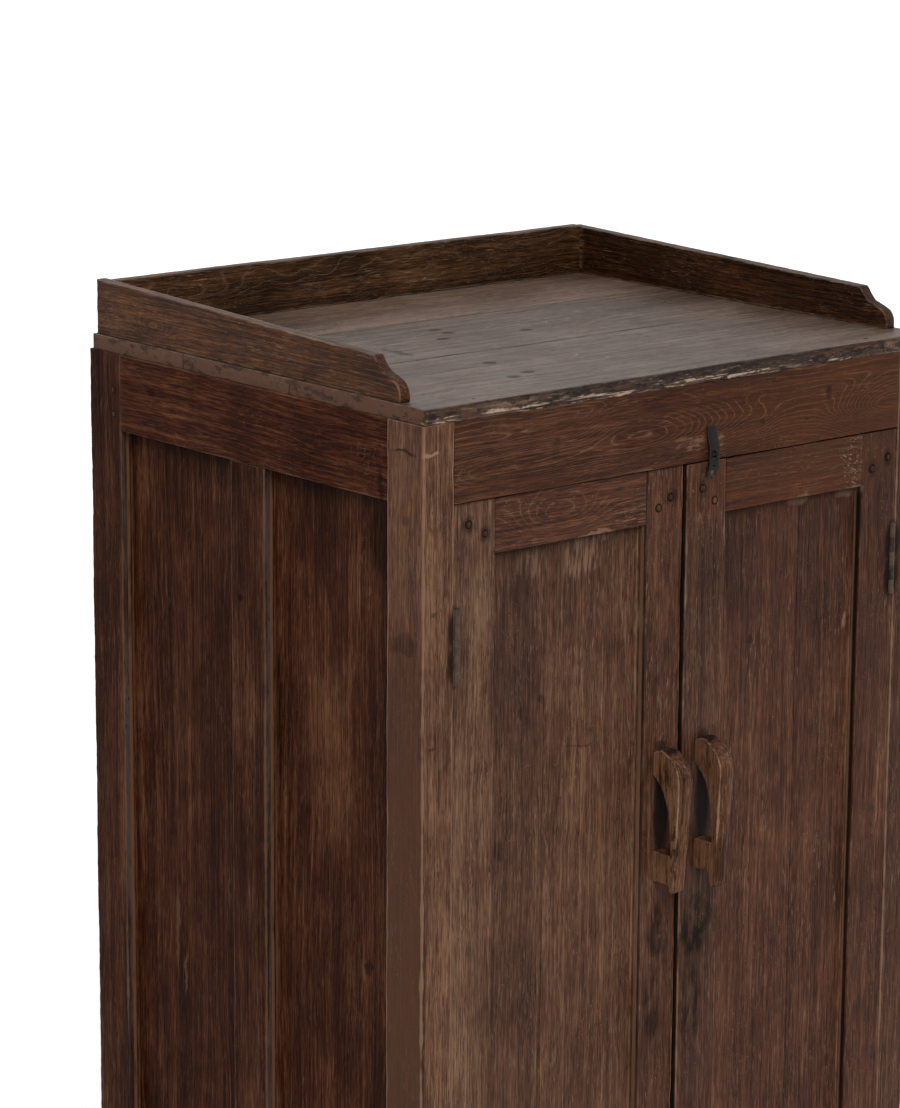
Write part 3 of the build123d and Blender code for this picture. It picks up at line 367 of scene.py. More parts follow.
def front_marks(place, ragged):
    """Stains, rubbed places and old damage on the front posts and the doors, with painted shade
    behind the handles, round the hinges and in the walls beside the panels, and a painted
    highlight down those walls.
    """
    smeared = step(speckle(place, (75, 75, 26), 4.0, 0.66, 1.9), 0.30, 0.62)
    stains = spots(ragged, "y", -335, 30, (-34, 752, 17, 40, 0.80), (-42, 646, 14, 62, 0.75),
                   (28, 748, 24, 46, 0.95), (22, 640, 20, 66, 0.80), (52, 762, 12, 22, 0.55))
    pegs = spots(ragged, "y", -335, 20, *((x, z, 9, 12, 0.62) for x, z in (
        (-379, 1371), (-351, 1355.5), (-23, 1359), (31, 1365), (359, 1349), (390, 1362))))
    walls = (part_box("left_meeting_stile")[0].x / MM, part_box("right_hinge_stile")[0].x / MM)
    dirt = most(
        stains * smeared,
        pegs * (smeared * 0.7 + 0.3),
        spots(ragged, "y", -335, 30, (-34, 1016, 13, 7, 0.55), (40, 1022, 13, 6, 0.45)),
        spots(ragged, "y", -322, 20, (-276, 1264, 16, 42, 0.34), (-313, 917, 11, 15, 0.45),
              (136, 1135, 5, 7, 0.6), (-239, 1112, 6, 5, 0.5), (-168, 1038, 30, 1.6, 0.45)),
        spots(ragged, "y", -338, 8, (-441, 1262, 5, 3, 0.5), (-443, 1087, 7, 2, 0.5),
              (-419, 1062, 3, 16, 0.4)),
        spots(ragged, "x", -459, 8, (-300, 1219, 26, 14, 0.42), (-300, 1471, 26, 2.2, 0.75),
              (-305, 1380, 8, 5, 0.35)),
        # painted shade behind the handles (with some stain), round the hinges, and in the panel
        # walls (with grime)
        spots(place, "y", -332, 8, (-31, 922, 14, 60, 0.95)),
        spots(place, "y", -338, 8, (41, 928, 13, 60, 0.95)),
        spots(place, "y", -338, 9, *((x, z, 15, 33, 0.95) for x in HINGES_X for z in HINGES_Z)),
        spots(place, "y", -332, 3.0, *((x + 0.5, 766, 1.6, 1300, 0.8) for x in walls)),
    )
    lower = spot(place, (-459, -300, 560), (9, 60, 620))
    sideways = step(aside(place), 0.4573, 0.4587)
    warm = most(sideways * (lower * 0.68 + 0.32),
                spot(place, (170, -335, 1364), (190, 40, 60), 0.4) * 0.7)
    stain = most(sideways * lower * 0.6, spot(place, (240, -335, 1364), (180, 40, 44), 0.4) * 0.35)
    worn_away = spots(ragged, "y", -322, 20, (-165, 1322, 44, 9, 1.0), (-170, 1296, 34, 26, 0.85),
                      (-262, 1300, 26, 16, 0.6))
    worn_away = worn_away * step(speckle(place, (170, 60, 22), 2.0, 0.6, 4.7), 0.42, 0.60)
    rub = most(
        worn_away,
        spots(ragged, "y", -332, 20, (-159, 1328, 34, 3.4, 0.8)),
        spots(ragged, "y", -328, 20, (226, 1323, 20, 9, 0.7), (321, 1321, 20, 9, 0.7),
              (323, 1135, 3.5, 9, 0.9)),
        spots(ragged, "y", -335, 20, (-69, 1198, 4, 22, 0.8)),
        # a painted highlight: a pale line down each wall beside the panels
        spots(place, "y", -325, 3.6, *((x, 766, 1.2, 1300, 0.75) for x in walls)),
    )
    chatter = speckle(turned(place, (0, 1, 0), -0.5), (150, 60, 420), 2.0, 0.6, 4.0)
    chatter = step(chatter, 0.56, 0.66) * spot(ragged, (318, -338, 1364), (20, 30, 40))
    bright = most(chatter * 0.75, spots(ragged, "y", -338, 6, (-447, 1471, 11, 2.6, 0.95)),
                  spots(ragged, "y", -338, 8, (-31, 742, 2.2, 3, 0.9)))
    tone = shades(place, ((240, -325, 1330), (210, 60, 230), 0.6, -0.13),
                  ((-240, -325, 620), (200, 60, 420), 0.6, 0.04),
                  ((0, -335, 560), (60, 40, 260), 0.5, -0.12),
                  ((-459, -300, 1440), (9, 60, 120), 0.6, 0.07)) + lower * -0.40
    return {"dirt": dirt, "rub": rub, "bright": bright, "warm": warm, "tone": tone, "stain": stain,
            "ring": hills(place, "y", -338, 40, (-225, 1364, 60, 22, 5))}


def frieze_marks(place, ragged):
    """The rail over the doors: nested loops of rings, two knots and a rubbed place by the hasp."""
    ring = hills(place, "y", -338, 40, (-345, 1434, 120, 27, 12), (-90, 1448, 150, 32, 13),
                 (396, 1436, 80, 30, 12), (141, 1441, 20, 13, 1.4), (-215, 1480, 60, 20, -3))
    dirt = spots(ragged, "y", -338, 20, (141, 1441, 4, 3.4, 0.5), (226, 1436, 3.4, 3, 0.45),
                 (268, 1470, 5, 9, 0.55), (-235, 1455, 6, 12, 0.35), (40, 1404, 60, 4, 0.35))
    rub = spots(ragged, "y", -338, 20, (14, 1430, 20, 10, 0.62), (60, 1424, 7, 8, 0.6),
                (-12, 1434, 11, 7, 0.45))
    rub = rub * step(speckle(place, (60, 60, 190), shift=8.1), 0.42, 0.60)
    return {"ring": ring, "dirt": dirt, "rub": rub,
            "tone": spot(place, (300, -338, 1450), (250, 60, 90), 0.7) * -0.13,
            "warm": spot(place, (300, -338, 1450), (330, 60, 120), 0.8) * 0.75,
            "stain": spot(place, (330, -338, 1450), (250, 60, 120), 0.8) * 0.35}


def side_marks(place, ragged):
    """Swirls, knots and scars on the side, the arched figure of the rear post, and a painted
    highlight down the walls beside the panels.
    """
    ring = (hills(place, "x", -450, 40, (365, 1150, 16, 90, 9), (-209, 1285, 18, 60, 5),
                  (177, 1330, 16, 60, 5), (-120, 1000, 50, 300, 4), (200, 760, 40, 200, 5))
            + hills(place, "x", -455, 40, (-223, 1436, 24, 22, 7)))
    dirt = most(
        spots(ragged, "x", -450, 30, (-209, 758, 9, 11, 0.6), (246, 1465, 12, 4, 0.6),
              (45, 1216, 6, 5, 0.7)),
        spots(ragged, "x", -455, 8, (-252, 1425, 5, 26, 0.6)),
        spots(ragged, "x", -443, 20, (-236, 1345, 30, 50, 0.55), (100, 1380, 120, 24, 0.35)),
    )
    scribble = step(speckle(place, 150, 1.0, 0.5, 5.5), 0.56, 0.66)
    rub = most(
        spots(ragged, "x", -443, 20, (215, 700, 4, 60, 0.75), (198, 640, 3, 34, 0.8),
              (-209, 1270, 3, 8, 0.5), (-200, 750, 4, 16, 0.6), (96, 790, 3, 30, 0.5)),
        scribble * spots(ragged, "x", -455, 12, (-226, 1438, 30, 34, 0.45),
                         (-120, 1462, 34, 14, 0.2), (20, 1470, 40, 16, 0.35)),
    )
    tone = shades(place, ((-443, -134, 1180), (14, 66, 230), 0.7, 0.17),
                  ((-443, -110, 860), (14, 50, 260), 0.8, 0.02),
                  ((-458, 42, 1080), (8, 26, 150), 0.5, 0.20),
                  ((-458, 42, 1390), (8, 30, 170), 0.5, -0.14),
                  ((-458, 38, 700), (30, 30, 330), 0.6, 0.06),
                  ((-443, 182, 1100), (30, 30, 250), 0.8, 0.08))
    # a painted highlight: a pale line down the walls beside the panels
    foot = spots(place, "z", 766, 1400, *((x, y, 2.6, 2.6, 1.0) for x in (-447.4, 447.4)
                                          for y in (-8, 317)))
    flaking = step(speckle(place, (60, 60, 10), shift=7.1), 0.22, 0.48)
    return {"ring": ring, "dirt": dirt, "rub": rub, "tone": tone, "bright": flaking * foot * 0.9}


def top_marks(place, ragged):
    """Round stains, cracks and specks on the top, and its broken front edge."""
    stains = ((-68, 77), (-105, 44), (34, 28), (-176, -136), (-218, -234), (-180, -218), (-67, 107))
    sideways = step(aside(place), 0.4545, 0.4558)
    chipped = step(speckle(place, (60, 38, 90), shift=3.3), 0.50, 0.62)
    hollows = step(speckle(place, (45, 60, 130), 4.0, 0.66, 6.3), 0.50, 0.60)
    dirt = most(
        spots(place, "z", 1530, 6, *((x, y, 10, 8, 0.72) for x, y in stains)),
        spots(ragged, "z", 1530, 6, (-223, -2, 8, 30, 0.55), (0, -61, 150, 2.5, 0.5),
              (120, 150, 60, 3, 0.45), (-250, -150, 60, 2.0, 0.4)),
        hollows * spot(place, (0, -344, 1519), (900, 9, 40), 0.1) * 0.85,
        spot(place, (0, -341, 1529), (900, 6, 5), 0.5) * 0.7,
        sideways * (chipped * 0.6 + 0.05),
    )
    splinters = step(speckle(place, (16, 60, 340), shift=2.4), 0.47, 0.54)
    rows = spots(ragged, "y", -338, 12, *((x, 1514, reach, 3.4, 1.0) for x, reach in (
        (-425, 36), (-345, 30), (-265, 50), (-150, 62), (10, 60), (105, 70), (286, 22))))
    specks = spots(place, "z", 1530, 6, *((x, y, 2.2, 2.2, 0.9)
                                          for x, y in ((-40, -160), (-20, -200), (100, 60))))
    return {"dirt": dirt, "bright": most(rows * splinters * 0.9, specks), "warm": sideways,
            "stain": sideways * (0.9 - chipped * 0.4),
            "ring": hills(place, "z", 1530, 40, (-60, 40, 160, 26, 3))}


def gallery_marks(place, ragged):
    """Fine waves along the gallery's back, swirls, a few dark knots and dust along its foot."""
    ring = (hills(place, "y", 361, 40, (-150, 1562, 190, 30, 2), (170, 1560, 160, 30, 2),
                  (-330, 1570, 90, 24, 4))
            + hills(place, "x", -453, 30, (247, 1556, 30, 12, 4)))
    wavy = speckle(place, (9, 30, 5), 2.0, 0.5, 4.1) - 0.5
    dirt = most(
        spots(ragged, "y", 361, 20, (-330, 1545, 10, 6, 0.6), (0, 1533, 600, 6, 0.45)),
        spots(ragged, "x", 444, 20, (40, 1590, 12, 6, 0.6)),
        spots(ragged, "x", -453, 20, (-100, 1540, 14, 10, 0.3)),
    )
    foot = most(spots(place, "y", 361, 9, (0, 1531.5, 470, 2.2, 0.55), (437, 1570, 2.4, 45, 0.4)),
                spots(place, "x", 437, 7, (50, 1531.5, 340, 2.2, 0.4)),
                spots(place, "x", -455, 7, (50, 1531.5, 340, 2.4, 0.4)))
    dust = step(speckle(place, (40, 40, 200), shift=6.6), 0.40, 0.56)
    warm = most(step(aside(place), 0.430, 0.434) * 0.55,
                spot(place, (-453, -240, 1560), (12, 90, 40), 0.7) * 0.4)
    return {"ring": ring + wavy * 5 * step(axes(place)[1], 0.350, 0.356), "dirt": dirt,
            "bright": dust * foot, "warm": warm,
            "tone": spot(place, (-453, -180, 1550), (8, 150, 30), 0.8) * 0.12}


def handle_marks(place, ragged):
    """Dark end grain and dark streaks on the handles' sides, and a worn dot on the right one."""
    streaks = step(speckle(place, (120, 120, 26), shift=7.2), 0.40, 0.58)
    ends = most(spots(ragged, "y", -346, 14, (-33, 1010, 12, 8, 0.85)),
                spots(ragged, "y", -352, 13, (38, 1017, 12, 8, 0.85)))
    sides = most(spots(ragged, "x", -46, 4, (-356, 978, 14, 22, 0.75)),
                 spots(ragged, "x", 26, 4, (-360, 985, 12, 20, 0.4)),
                 spots(ragged, "x", -44, 3, (-372, 880, 8, 60, 0.8)),
                 spots(ragged, "x", 40, 10, (-380, 850, 8, 26, 0.6)))
    return {"dirt": most(ends, sides * streaks),
            "bright": spots(place, "y", -378, 6, (44, 1001, 2.4, 2.6, 0.5))}


def ramp_of(*colours):
    """Five colours from the deepest to the palest."""
    return list(zip((0.0, 0.30, 0.52, 0.74, 1.0), colours))


def scaled(ramp, *gains):
    return [(place, tuple(value * gain for value, gain in zip(colour, gains)))
            for place, colour in ramp]


FRONT_RAMP = ramp_of((0.012, 0.0052, 0.003), (0.034, 0.0142, 0.0078), (0.060, 0.0262, 0.0148),
                     (0.100, 0.050, 0.029), (0.17, 0.094, 0.056))
SIDE_RAMP = ramp_of((0.006, 0.0013, 0.0004), (0.0165, 0.0038, 0.0011), (0.0325, 0.0087, 0.0029),
                    (0.060, 0.0215, 0.0095), (0.12, 0.052, 0.026))
GALLERY_RAMP = ramp_of((0.008, 0.0034, 0.0012), (0.026, 0.0110, 0.0040), (0.054, 0.0240, 0.0095),
                       (0.092, 0.046, 0.020), (0.17, 0.095, 0.048))
TOP_RAMP = ramp_of((0.014, 0.008, 0.0055), (0.040, 0.025, 0.018), (0.067, 0.042, 0.031),
                   (0.098, 0.064, 0.048), (0.155, 0.108, 0.082))
HANDLE_RAMP = ramp_of((0.010, 0.0045, 0.0025), (0.032, 0.0135, 0.0068), (0.074, 0.0335, 0.0178),
                      (0.125, 0.063, 0.036), (0.22, 0.125, 0.075))
INNER_RAMP = ramp_of((0.025, 0.013, 0.007), (0.055, 0.028, 0.015), (0.088, 0.047, 0.026),
                     (0.125, 0.071, 0.041), (0.19, 0.12, 0.07))

teak("oiled_teak", FRONT_RAMP, 0.08, 0.52, marks=front_marks)
teak("frieze_teak", scaled(FRONT_RAMP, 0.78, 0.66, 0.57), 0.06, 0.50, (0.165, 0.095, 0.057),
     marks=frieze_marks, ring_count=100, crisp=0.8)
teak("dark_side_teak", SIDE_RAMP, 0.02, 0.46, (0.13, 0.062, 0.034), (0.0055, 0.002, 0.0014),
     marks=side_marks, ring_count=120, wear_and_highlight_tone=(0.13, 0.066, 0.038), patchy=1.25, crisp=0.95,
     banded=1.6)
teak("gallery_teak", GALLERY_RAMP, 0.06, 0.42, marks=gallery_marks, ring_count=130,
     wear_and_highlight_tone=(0.20, 0.13, 0.085), patchy=1.3)
teak("weathered_top_teak", TOP_RAMP, 0.15, 0.46, (0.36, 0.26, 0.185), marks=top_marks,
     ring_count=60, wear_and_highlight_tone=(0.24, 0.17, 0.12), patchy=1.3, banded=1.5,
     warmth=(1.35, 0.72, 0.34))
teak("handle_teak", scaled(HANDLE_RAMP, 0.86, 0.74, 0.66), 0.05, 0.40, (0.27, 0.17, 0.105),
     marks=handle_marks, ring_count=130, wear_and_highlight_tone=(0.34, 0.21, 0.135), patchy=1.3, banded=1.6)
teak("inner_teak", INNER_RAMP, 0.06, 0.70)
teak("peg_teak", FRONT_RAMP, 0.08, 0.6, patchy=2.0)
teak("peg_gap", scaled(FRONT_RAMP, 0.2, 0.2, 0.2), 0.05, 0.8, DARK)
SLOT_OF = {"frieze_teak": "oiled_teak", "gallery_teak": "weathered_top_teak",
           "peg_teak": "oiled_teak"}


def iron():
    """Forged iron, charcoal grey with a little rust, and paler arrises: rubbed, and a painted
    highlight.
    """
    finishes["dark_iron"], start = new_finish("dark_iron")
    place = start.node("TexCoord", out=3)
    lighter = axes(carried(start, "board", 1))[0]
    hammer = speckle(place, 110)
    fine = speckle(place, 900, shift=1.0)
    rust = step(speckle(place, 95, 4.0, 0.65, 2.0), 0.52, 0.68)
    paler = step(hammer * 0.5 + 0.26 + lighter, 0.35, 0.75)
    colour = mixed(paler, (0.0045, 0.0034, 0.0029, 1), (0.078, 0.047, 0.034))
    colour = mixed(rust * 0.25, colour, (0.032, 0.014, 0.008))
    # paler arrises: rubbed iron, and also a painted highlight
    colour = mixed(carried(start, "wear") * step(fine, 0.25, 0.6), colour, (0.11, 0.088, 0.075))
    sockets = {
        "Base Color": colour,
        "Roughness": 0.42 + fine * 0.2 + rust * 0.3,
        "Metallic": 0.15 - rust * 0.12,
        "Specular IOR Level": 0.16,
    }
    end_finish(start, sockets, hammer + fine * 0.35 + rust * 0.4, distance=0.6 * MM, strength=0.6)


iron()

# Boards --------------------------------------------

ARC_STEPS = 4  # steps round an arris
WAVE = 0.25 * MM  # how far a face wanders from flat
LEAD = 0.8 * MM  # how far the ends are eased
GAP = 0.35 * MM  # between boards of one frame
SPREAD = 0.045  # the widest step between points along a side
RUBBED = 1.8 * MM  # how far wear reaches from an arris
NICK_EVERY = 0.085  # metres of arris to a nick
WELD = 1e-5  # points closer than this are one


def seeded(name):
    return random.Random(zlib.crc32(name.encode()))


def ripple(places, pitch, rng):
    """A smooth random wave of about unit height."""
    height = 0
    for share in (1.0, 0.57, 0.31):
        start = rng.uniform(0, math.tau)
        height = height + share * np.sin(places * (math.tau / (pitch * share)) + start)
    return height / 1.3


def link_rings(name, rings, finish):
    """Link a smooth mesh through rings of points, with a flat face at either end."""
    count, size = rings.shape[:2]
    faces = [(ring * size + index, ring * size + (index + 1) % size,
              (ring + 1) * size + (index + 1) % size, (ring + 1) * size + index)
             for ring in range(count - 1) for index in range(size)]
    last = (count - 1) * size
    faces += [list(range(size))[::-1], [last + index for index in range(size)]]
    mesh = bpy.data.meshes.new(name)
    mesh.from_pydata(rings.reshape(-1, 3).tolist(), [], faces)
    smooth = np.ones(len(faces), bool)
    smooth[-2:] = False
    mesh.polygons.foreach_set("use_smooth", smooth)
    mesh.materials.append(finishes[finish])
    return link(name, mesh)


def carry(mesh, **values):
    """Write values onto a mesh's points: one number for each, or three."""
    for key, value in values.items():
        flat = np.asarray(value, np.float32).ravel()
        wide = flat.size > len(mesh.vertices)
        kind, word = ("FLOAT_VECTOR", "vector") if wide else ("FLOAT", "value")
        mesh.attributes.new(key, kind, "POINT").data.foreach_set(word, flat)


def grain_of(points, rng, *order):
    """Grain coordinates of points: their axes in another order, moved at random."""
    offset = np.array([rng.uniform(1, 4) for _ in range(3)])
    return points[:, list(order)] + offset


def hand_in(made, finish, body, nodes, grain, tones, wear, grime=None):
    """Write what a piece's finish reads, and say what it rides on and stands for."""
    count = len(made.data.vertices)
    carry(made.data, grain=grain, board=np.broadcast_to(np.asarray(tones, float), (count, 3)),
          wear=wear, grime=np.zeros(count) if grime is None else grime)
    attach(made, body)
    SLOT_OF.get(finish, finish)
    if nodes:
        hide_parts(*nodes)


def nicks(places, rng, length):
    """How much more a worn arris is rounded at each place, by random nicks."""
    deeper = np.zeros_like(places)
    for _ in range(int(length / NICK_EVERY)):
        place, reach, depth = (rng.uniform(0, length), rng.uniform(3, 11) * MM,
                               rng.uniform(0.2, 1.3) * MM)
        deeper += depth * np.exp(-((places - place) / reach) ** 2)
    return deeper


def between(start, end, side, near):
    """Points along one side of a section, and how worn each is: closer together near its ends."""
    edge = [d * MM for d in near if d * MM < 0.42 * side]
    inside = []
    if edge:
        gap = side - 2 * edge[-1]
        extra = int(gap / SPREAD)
        inside = [edge[-1] + gap * (k + 1) / (extra + 1) for k in range(extra)]
    for part in edge + inside + [side - d for d in reversed(edge)]:
        share = part / side
        yield ((start[0] + (end[0] - start[0]) * share, start[1] + (end[1] - start[1]) * share),
               math.exp(-min(part, side - part) / RUBBED))


def board(name, low, high, along, finish, body="case", node=None, tone=(0, 0, 0), arris=1.2,
          pitch=8.0, near=(1.5, 4, 10), grime=None, faced=(), worn=0.72, lit=None, reshape=None):
    """A board with worn arrises. arris, pitch and near are in millimetres.

    low and high are its corners. A grime function, if given, takes the points and gives how much
    grime and painted shade each gets. faced holds (axis, side, tone) for faces whose tone differs,
    with a depth in millimetres if only the outer part does. lit holds (axis, place, gain) for
    a painted highlight along the board: a pale line, and painted light spread wider beside it.
    """
    rng = seeded(name)
    a = "xyz".index(along)
    u, v = (a + 1) % 3, (a + 2) % 3
    low, high = np.array(low, float), np.array(high, float)
    length = high[a] - low[a]
    inner = np.linspace(LEAD, length - LEAD, max(3, int(length / (pitch * MM)) + 1))
    places = np.concatenate([[0, 0, 0.3 * LEAD], inner, [length - 0.3 * LEAD, length, length]])
    inset = np.zeros_like(places)
    inset[[0, -1]] = 0.85 * LEAD + 1.4 * MM
    inset[[1, -2]] = 0.85 * LEAD
    inset[[2, -3]] = 0.28 * LEAD
    half_u, half_v = (high[u] - low[u]) / 2, (high[v] - low[v]) / 2
    u_high, u_less, v_high, v_less = (half + WAVE * ripple(places, 0.37, rng) - inset
                                      for half in (half_u, half_u, half_v, half_v))
    u_low, v_low = -u_less, -v_less
    rounds = []
    for _ in range(4):
        uneven = 0.3 * ripple(places, 0.09, rng) + 0.25 * ripple(places, 0.023, rng)
        soft = arris * MM * (1 + uneven) + nicks(places, rng, length)
        rounds.append(np.clip(soft, 0.15 * MM, 0.44 * min(half_u, half_v)))
    corners = (
        (u_high - rounds[0], v_low + rounds[0], -90),
        (u_high - rounds[1], v_high - rounds[1], 0),
        (u_low + rounds[2], v_high - rounds[2], 90),
        (u_low + rounds[3], v_low + rounds[3], 180),
    )

    def arc(index, turn):
        centre_u, centre_v, first = corners[index]
        angle = math.radians(first + 90 * turn / ARC_STEPS)
        return (centre_u + rounds[index] * math.cos(angle),
                centre_v + rounds[index] * math.sin(angle))

    columns = []
    for index, side in enumerate((2 * half_v, 2 * half_u, 2 * half_v, 2 * half_u)):
        columns += [(arc(index, turn), 1.0) for turn in range(ARC_STEPS + 1)]
        columns += between(columns[-1][0], arc((index + 1) % 4, 0), side, near)
    points = np.zeros((len(places), len(columns), 3))
    points[:, :, a] = (low[a] + places)[:, None]
    for column, ((across_u, across_v), _) in enumerate(columns):
        points[:, column, u] = (high[u] + low[u]) / 2 + across_u
        points[:, column, v] = (high[v] + low[v]) / 2 + across_v
    true = points.reshape(-1, 3).copy()
    if reshape is not None:
        reshape(points)
    wear = np.tile([worn_here for _, worn_here in columns], (len(places), 1))
    wear[[1, 2, -3, -2], :] = 1.0
    wear[[0, -1], :] = 0.15
    made = link_rings(name, points, finish)

    tones = np.tile(np.array(tone, float), (len(true), 1))
    for axis, side, other, *shallow in faced:
        index = "xyz".index(axis)
        face = high[index] if side > 0 else low[index]
        chosen = np.abs(true[:, index] - face) < 0.5 * arris * MM + 1.3 * WAVE
        if shallow:
            outer = max(abs(low[0]), abs(high[0]))
            chosen &= outer - np.abs(true[:, 0]) < shallow[0] * MM
        tones[chosen] = other
    if lit is not None:
        # a painted highlight: a pale line, with painted light spread wider beside it, also fed into
        # the wear
        axis, place, gain = lit
        away = np.abs(true[:, "xyz".index(axis)] - place)
        near_line = np.exp(-(away / (2.4 * MM)) ** 2)
        tones[:, 0] += gain * near_line + 0.4 * gain * np.exp(-away / (12 * MM))
        wear = wear + (1.0 / worn * near_line).reshape(wear.shape)
    across, through = (u, v) if half_u >= half_v else (v, u)
    hand_in(made, finish, body, [node or name] if node is not False else [],
            grain_of(true, rng, a, across, through), tones, wear.ravel() * worn,
            grime(true) if grime else None)


def frame_dirt(axis, span, span_z, reach=9.0, amount=0.8, top_more=1.0, far_less=1.0):
    """Grime and painted shade along the edges of an opening, with less of it at the far side."""
    index = "xyz".index(axis)

    def amounts(points):
        across = np.minimum(points[:, index] - span[0], (span[1] - points[:, index]) * far_less)
        above, below = points[:, 2] - span_z[0], (span_z[1] - points[:, 2]) / top_more
        near = np.minimum(np.minimum(across, above), below)
        return amount * np.exp(-np.maximum(near, 0) / (reach * MM))

    return amounts


# The case and the doors, at places read from the frame ----

box = {name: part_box(name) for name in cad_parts}
post_inner = (box["front_left_post"][1].x + GAP, box["front_right_post"][0].x - GAP)
front_y = box["front_left_post"][0].y
side_span = (box["front_left_post"][1].y, box["rear_left_post"][0].y)
low_rail = (box["front_bottom_rail"][0].z, box["front_bottom_rail"][1].z)
high_rail = (box["left_top_rail"][0].z, box["left_top_rail"][1].z)
opening = (low_rail[1], high_rail[0])
# walls that face the front beside the side panels: lighter and cool grey, a painted sheen
SHEEN_WALL = ("y", -1, (0.30, -1.0, 0), 11)
ANYWHERE = (0, 9)  # a span that ends beyond every board
MIDDLE = (0.0, 0.0, 0.8)  # of the case


def build_case():
    for side, sign in (("left", -1), ("right", 1)):
        for end in ("front", "rear"):
            name = f"{end}_{side}_post"
            front = end == "front"
            facing = [SHEEN_WALL]
            if front:
                facing = [("y", -1, (0.19, 0.24, 0.05) if side == "left" else (-0.05, 0.2, 0)),
                          ("x", sign, (0.10, 0.25, 0.05))]
            board(name, *box[name], "z", "oiled_teak" if front else "dark_side_teak", arris=1.5,
                  pitch=6, tone=(0.0, 0.1, 0.35), near=(1.5, 4, 10, 12), faced=facing,
                  worn=1.25 if front else 0.9)
        x0, x1 = (corner.x for corner in box[f"{side}_top_rail"])
        for end, span_z in (("bottom", low_rail), ("top", high_rail)):
            board(f"{side}_{end}_rail", (x0, side_span[0] + GAP, span_z[0]),
                  (x1, side_span[1] - GAP, span_z[1]), "y", "dark_side_teak",
                  tone=(0.03, 0.55, 0.45), arris=1.1, pitch=7, worn=0.95)
        muntin = box[f"{side}_muntin"]
        board(f"{side}_muntin", (x0, muntin[0].y, opening[0] + GAP),
              (x1, muntin[1].y, opening[1] - GAP), "z", "dark_side_teak",
              tone=(0.05, 0.05, 0.15), arris=1.6, pitch=7, near=(1.5, 4, 10, 12),
              faced=[SHEEN_WALL], worn=1.15)
        for end, span, lighter in (("front", (side_span[0], muntin[0].y), 0.05),
                                   ("rear", (muntin[1].y, side_span[1]), 0.0)):
            name = f"{side}_{end}_panel"
            # painted shade with grime along the panel's edges, and a painted highlight by its far
            # wall (lit)
            dirt = frame_dirt("y", span, opening, reach=13, amount=0.78, top_more=2.0, far_less=14)
            board(name, *box[name], "z", "dark_side_teak", tone=(lighter, 0.16, 0.35),
                  near=(8.5, 11, 13, 16, 22, 34, 50), grime=dirt, pitch=9, worn=0.2,
                  lit=("y", span[1] - 2.5 * MM, 0.25))


def build_front_rails():
    for end, span_z, figure in (("bottom", low_rail, 0.4), ("top", high_rail, 0.95)):
        name = f"front_{end}_rail"
        board(name, (post_inner[0], front_y, span_z[0]), (post_inner[1], box[name][1].y, span_z[1]),
              "x", "frieze_teak", tone=(0.0, 0.20, figure), arris=1.0, pitch=6, worn=0.45)
    low, high = box["front_top_rail"]
    board("front_top_rail_lip", (post_inner[0], box["floor_boards"][0].y, low.z),
          (post_inner[1], high.y, high_rail[0] + 2 * MM), "x", "inner_teak",
          node=False, tone=(-0.1, 0, 0.1), pitch=20)


def build_rear():
    low, high = box["rear_muntin"]
    for end, span_z in (("bottom", low_rail), ("top", high_rail)):
        board(f"rear_{end}_rail", (post_inner[0], low.y, span_z[0]),
              (post_inner[1], high.y, span_z[1]), "x", "inner_teak", tone=(-0.12, 0.1, 0.4),
              pitch=10)
    board("rear_muntin", (low.x, low.y, opening[0] + GAP), (high.x, high.y, opening[1] - GAP), "z",
          "inner_teak", tone=(-0.10, 0.1, 0.1), pitch=10)
    for side, span in (("left", (post_inner[0] - GAP, low.x)),
                       ("right", (high.x, post_inner[1] + GAP))):
        name = f"rear_{side}_panel"
        board(name, *box[name], "z", "inner_teak", tone=(-0.08, 0.1, 0.35),
              near=(8.5, 11, 15, 22, 34, 50), grime=frame_dirt("x", span, opening, amount=0.6),
              pitch=10, worn=0.1)


def solids_of(node):
    """The low and high corners of each separate solid in a node, sorted by place."""
    work = bmesh.new()
    work.from_mesh(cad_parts[node].data)
    bmesh.ops.remove_doubles(work, verts=work.verts, dist=WELD)
    left, found = set(work.verts), []
    while left:
        group, edge = set(), {next(iter(left))}
        while edge:
            group |= edge
            edge = {e.other_vert(v) for v in edge for e in v.link_edges} - group
        left -= group
        places = np.array([v.co[:] for v in group])
        found.append((places.min(0), places.max(0)))
    work.free()
    return sorted(found, key=lambda solid: [round(float(v), 4) for v in (*solid[0], *solid[1])])


def build_inside():
    for index, (low, high) in enumerate(solids_of("floor_boards")):
        board(f"floor_board_{index + 1}", low, high, "y", "inner_teak", node="floor_boards",
              tone=(0.02 * (-1) ** index, 0, 0.3), pitch=12)
    for index, (low, high) in enumerate(solids_of("shelf_bearers")):
        board(f"shelf_bearer_{index + 1}", low, high, "y", "inner_teak", node="shelf_bearers",
              tone=(0.05, 0, 0.1), pitch=15)
    for name in ("lower_shelf", "upper_shelf"):
        board(name, *box[name], "x", "inner_teak", tone=(0.03, 0, 0.5), pitch=12)


DOOR_TONES = {
    "left": {"hinge": (0.20, 0.05, 0.0), "meeting": (0.01, 0.35, 0.0), "top": (-0.10, 0.65, 0.5),
             "bottom": (0.0, 0.2, 0.3), "outer": (-0.02, 0.1, 0.12), "inner": (0.04, 0.2, 0.1)},
    "right": {"hinge": (-0.07, 0.5, 0.0), "meeting": (-0.02, 0.15, 0.0), "top": (-0.18, 1.0, 0.4),
              "bottom": (-0.05, 0.2, 0.3), "outer": (-0.07, 0.5, 0.15), "inner": (-0.03, 0.5, 0.1)},
}


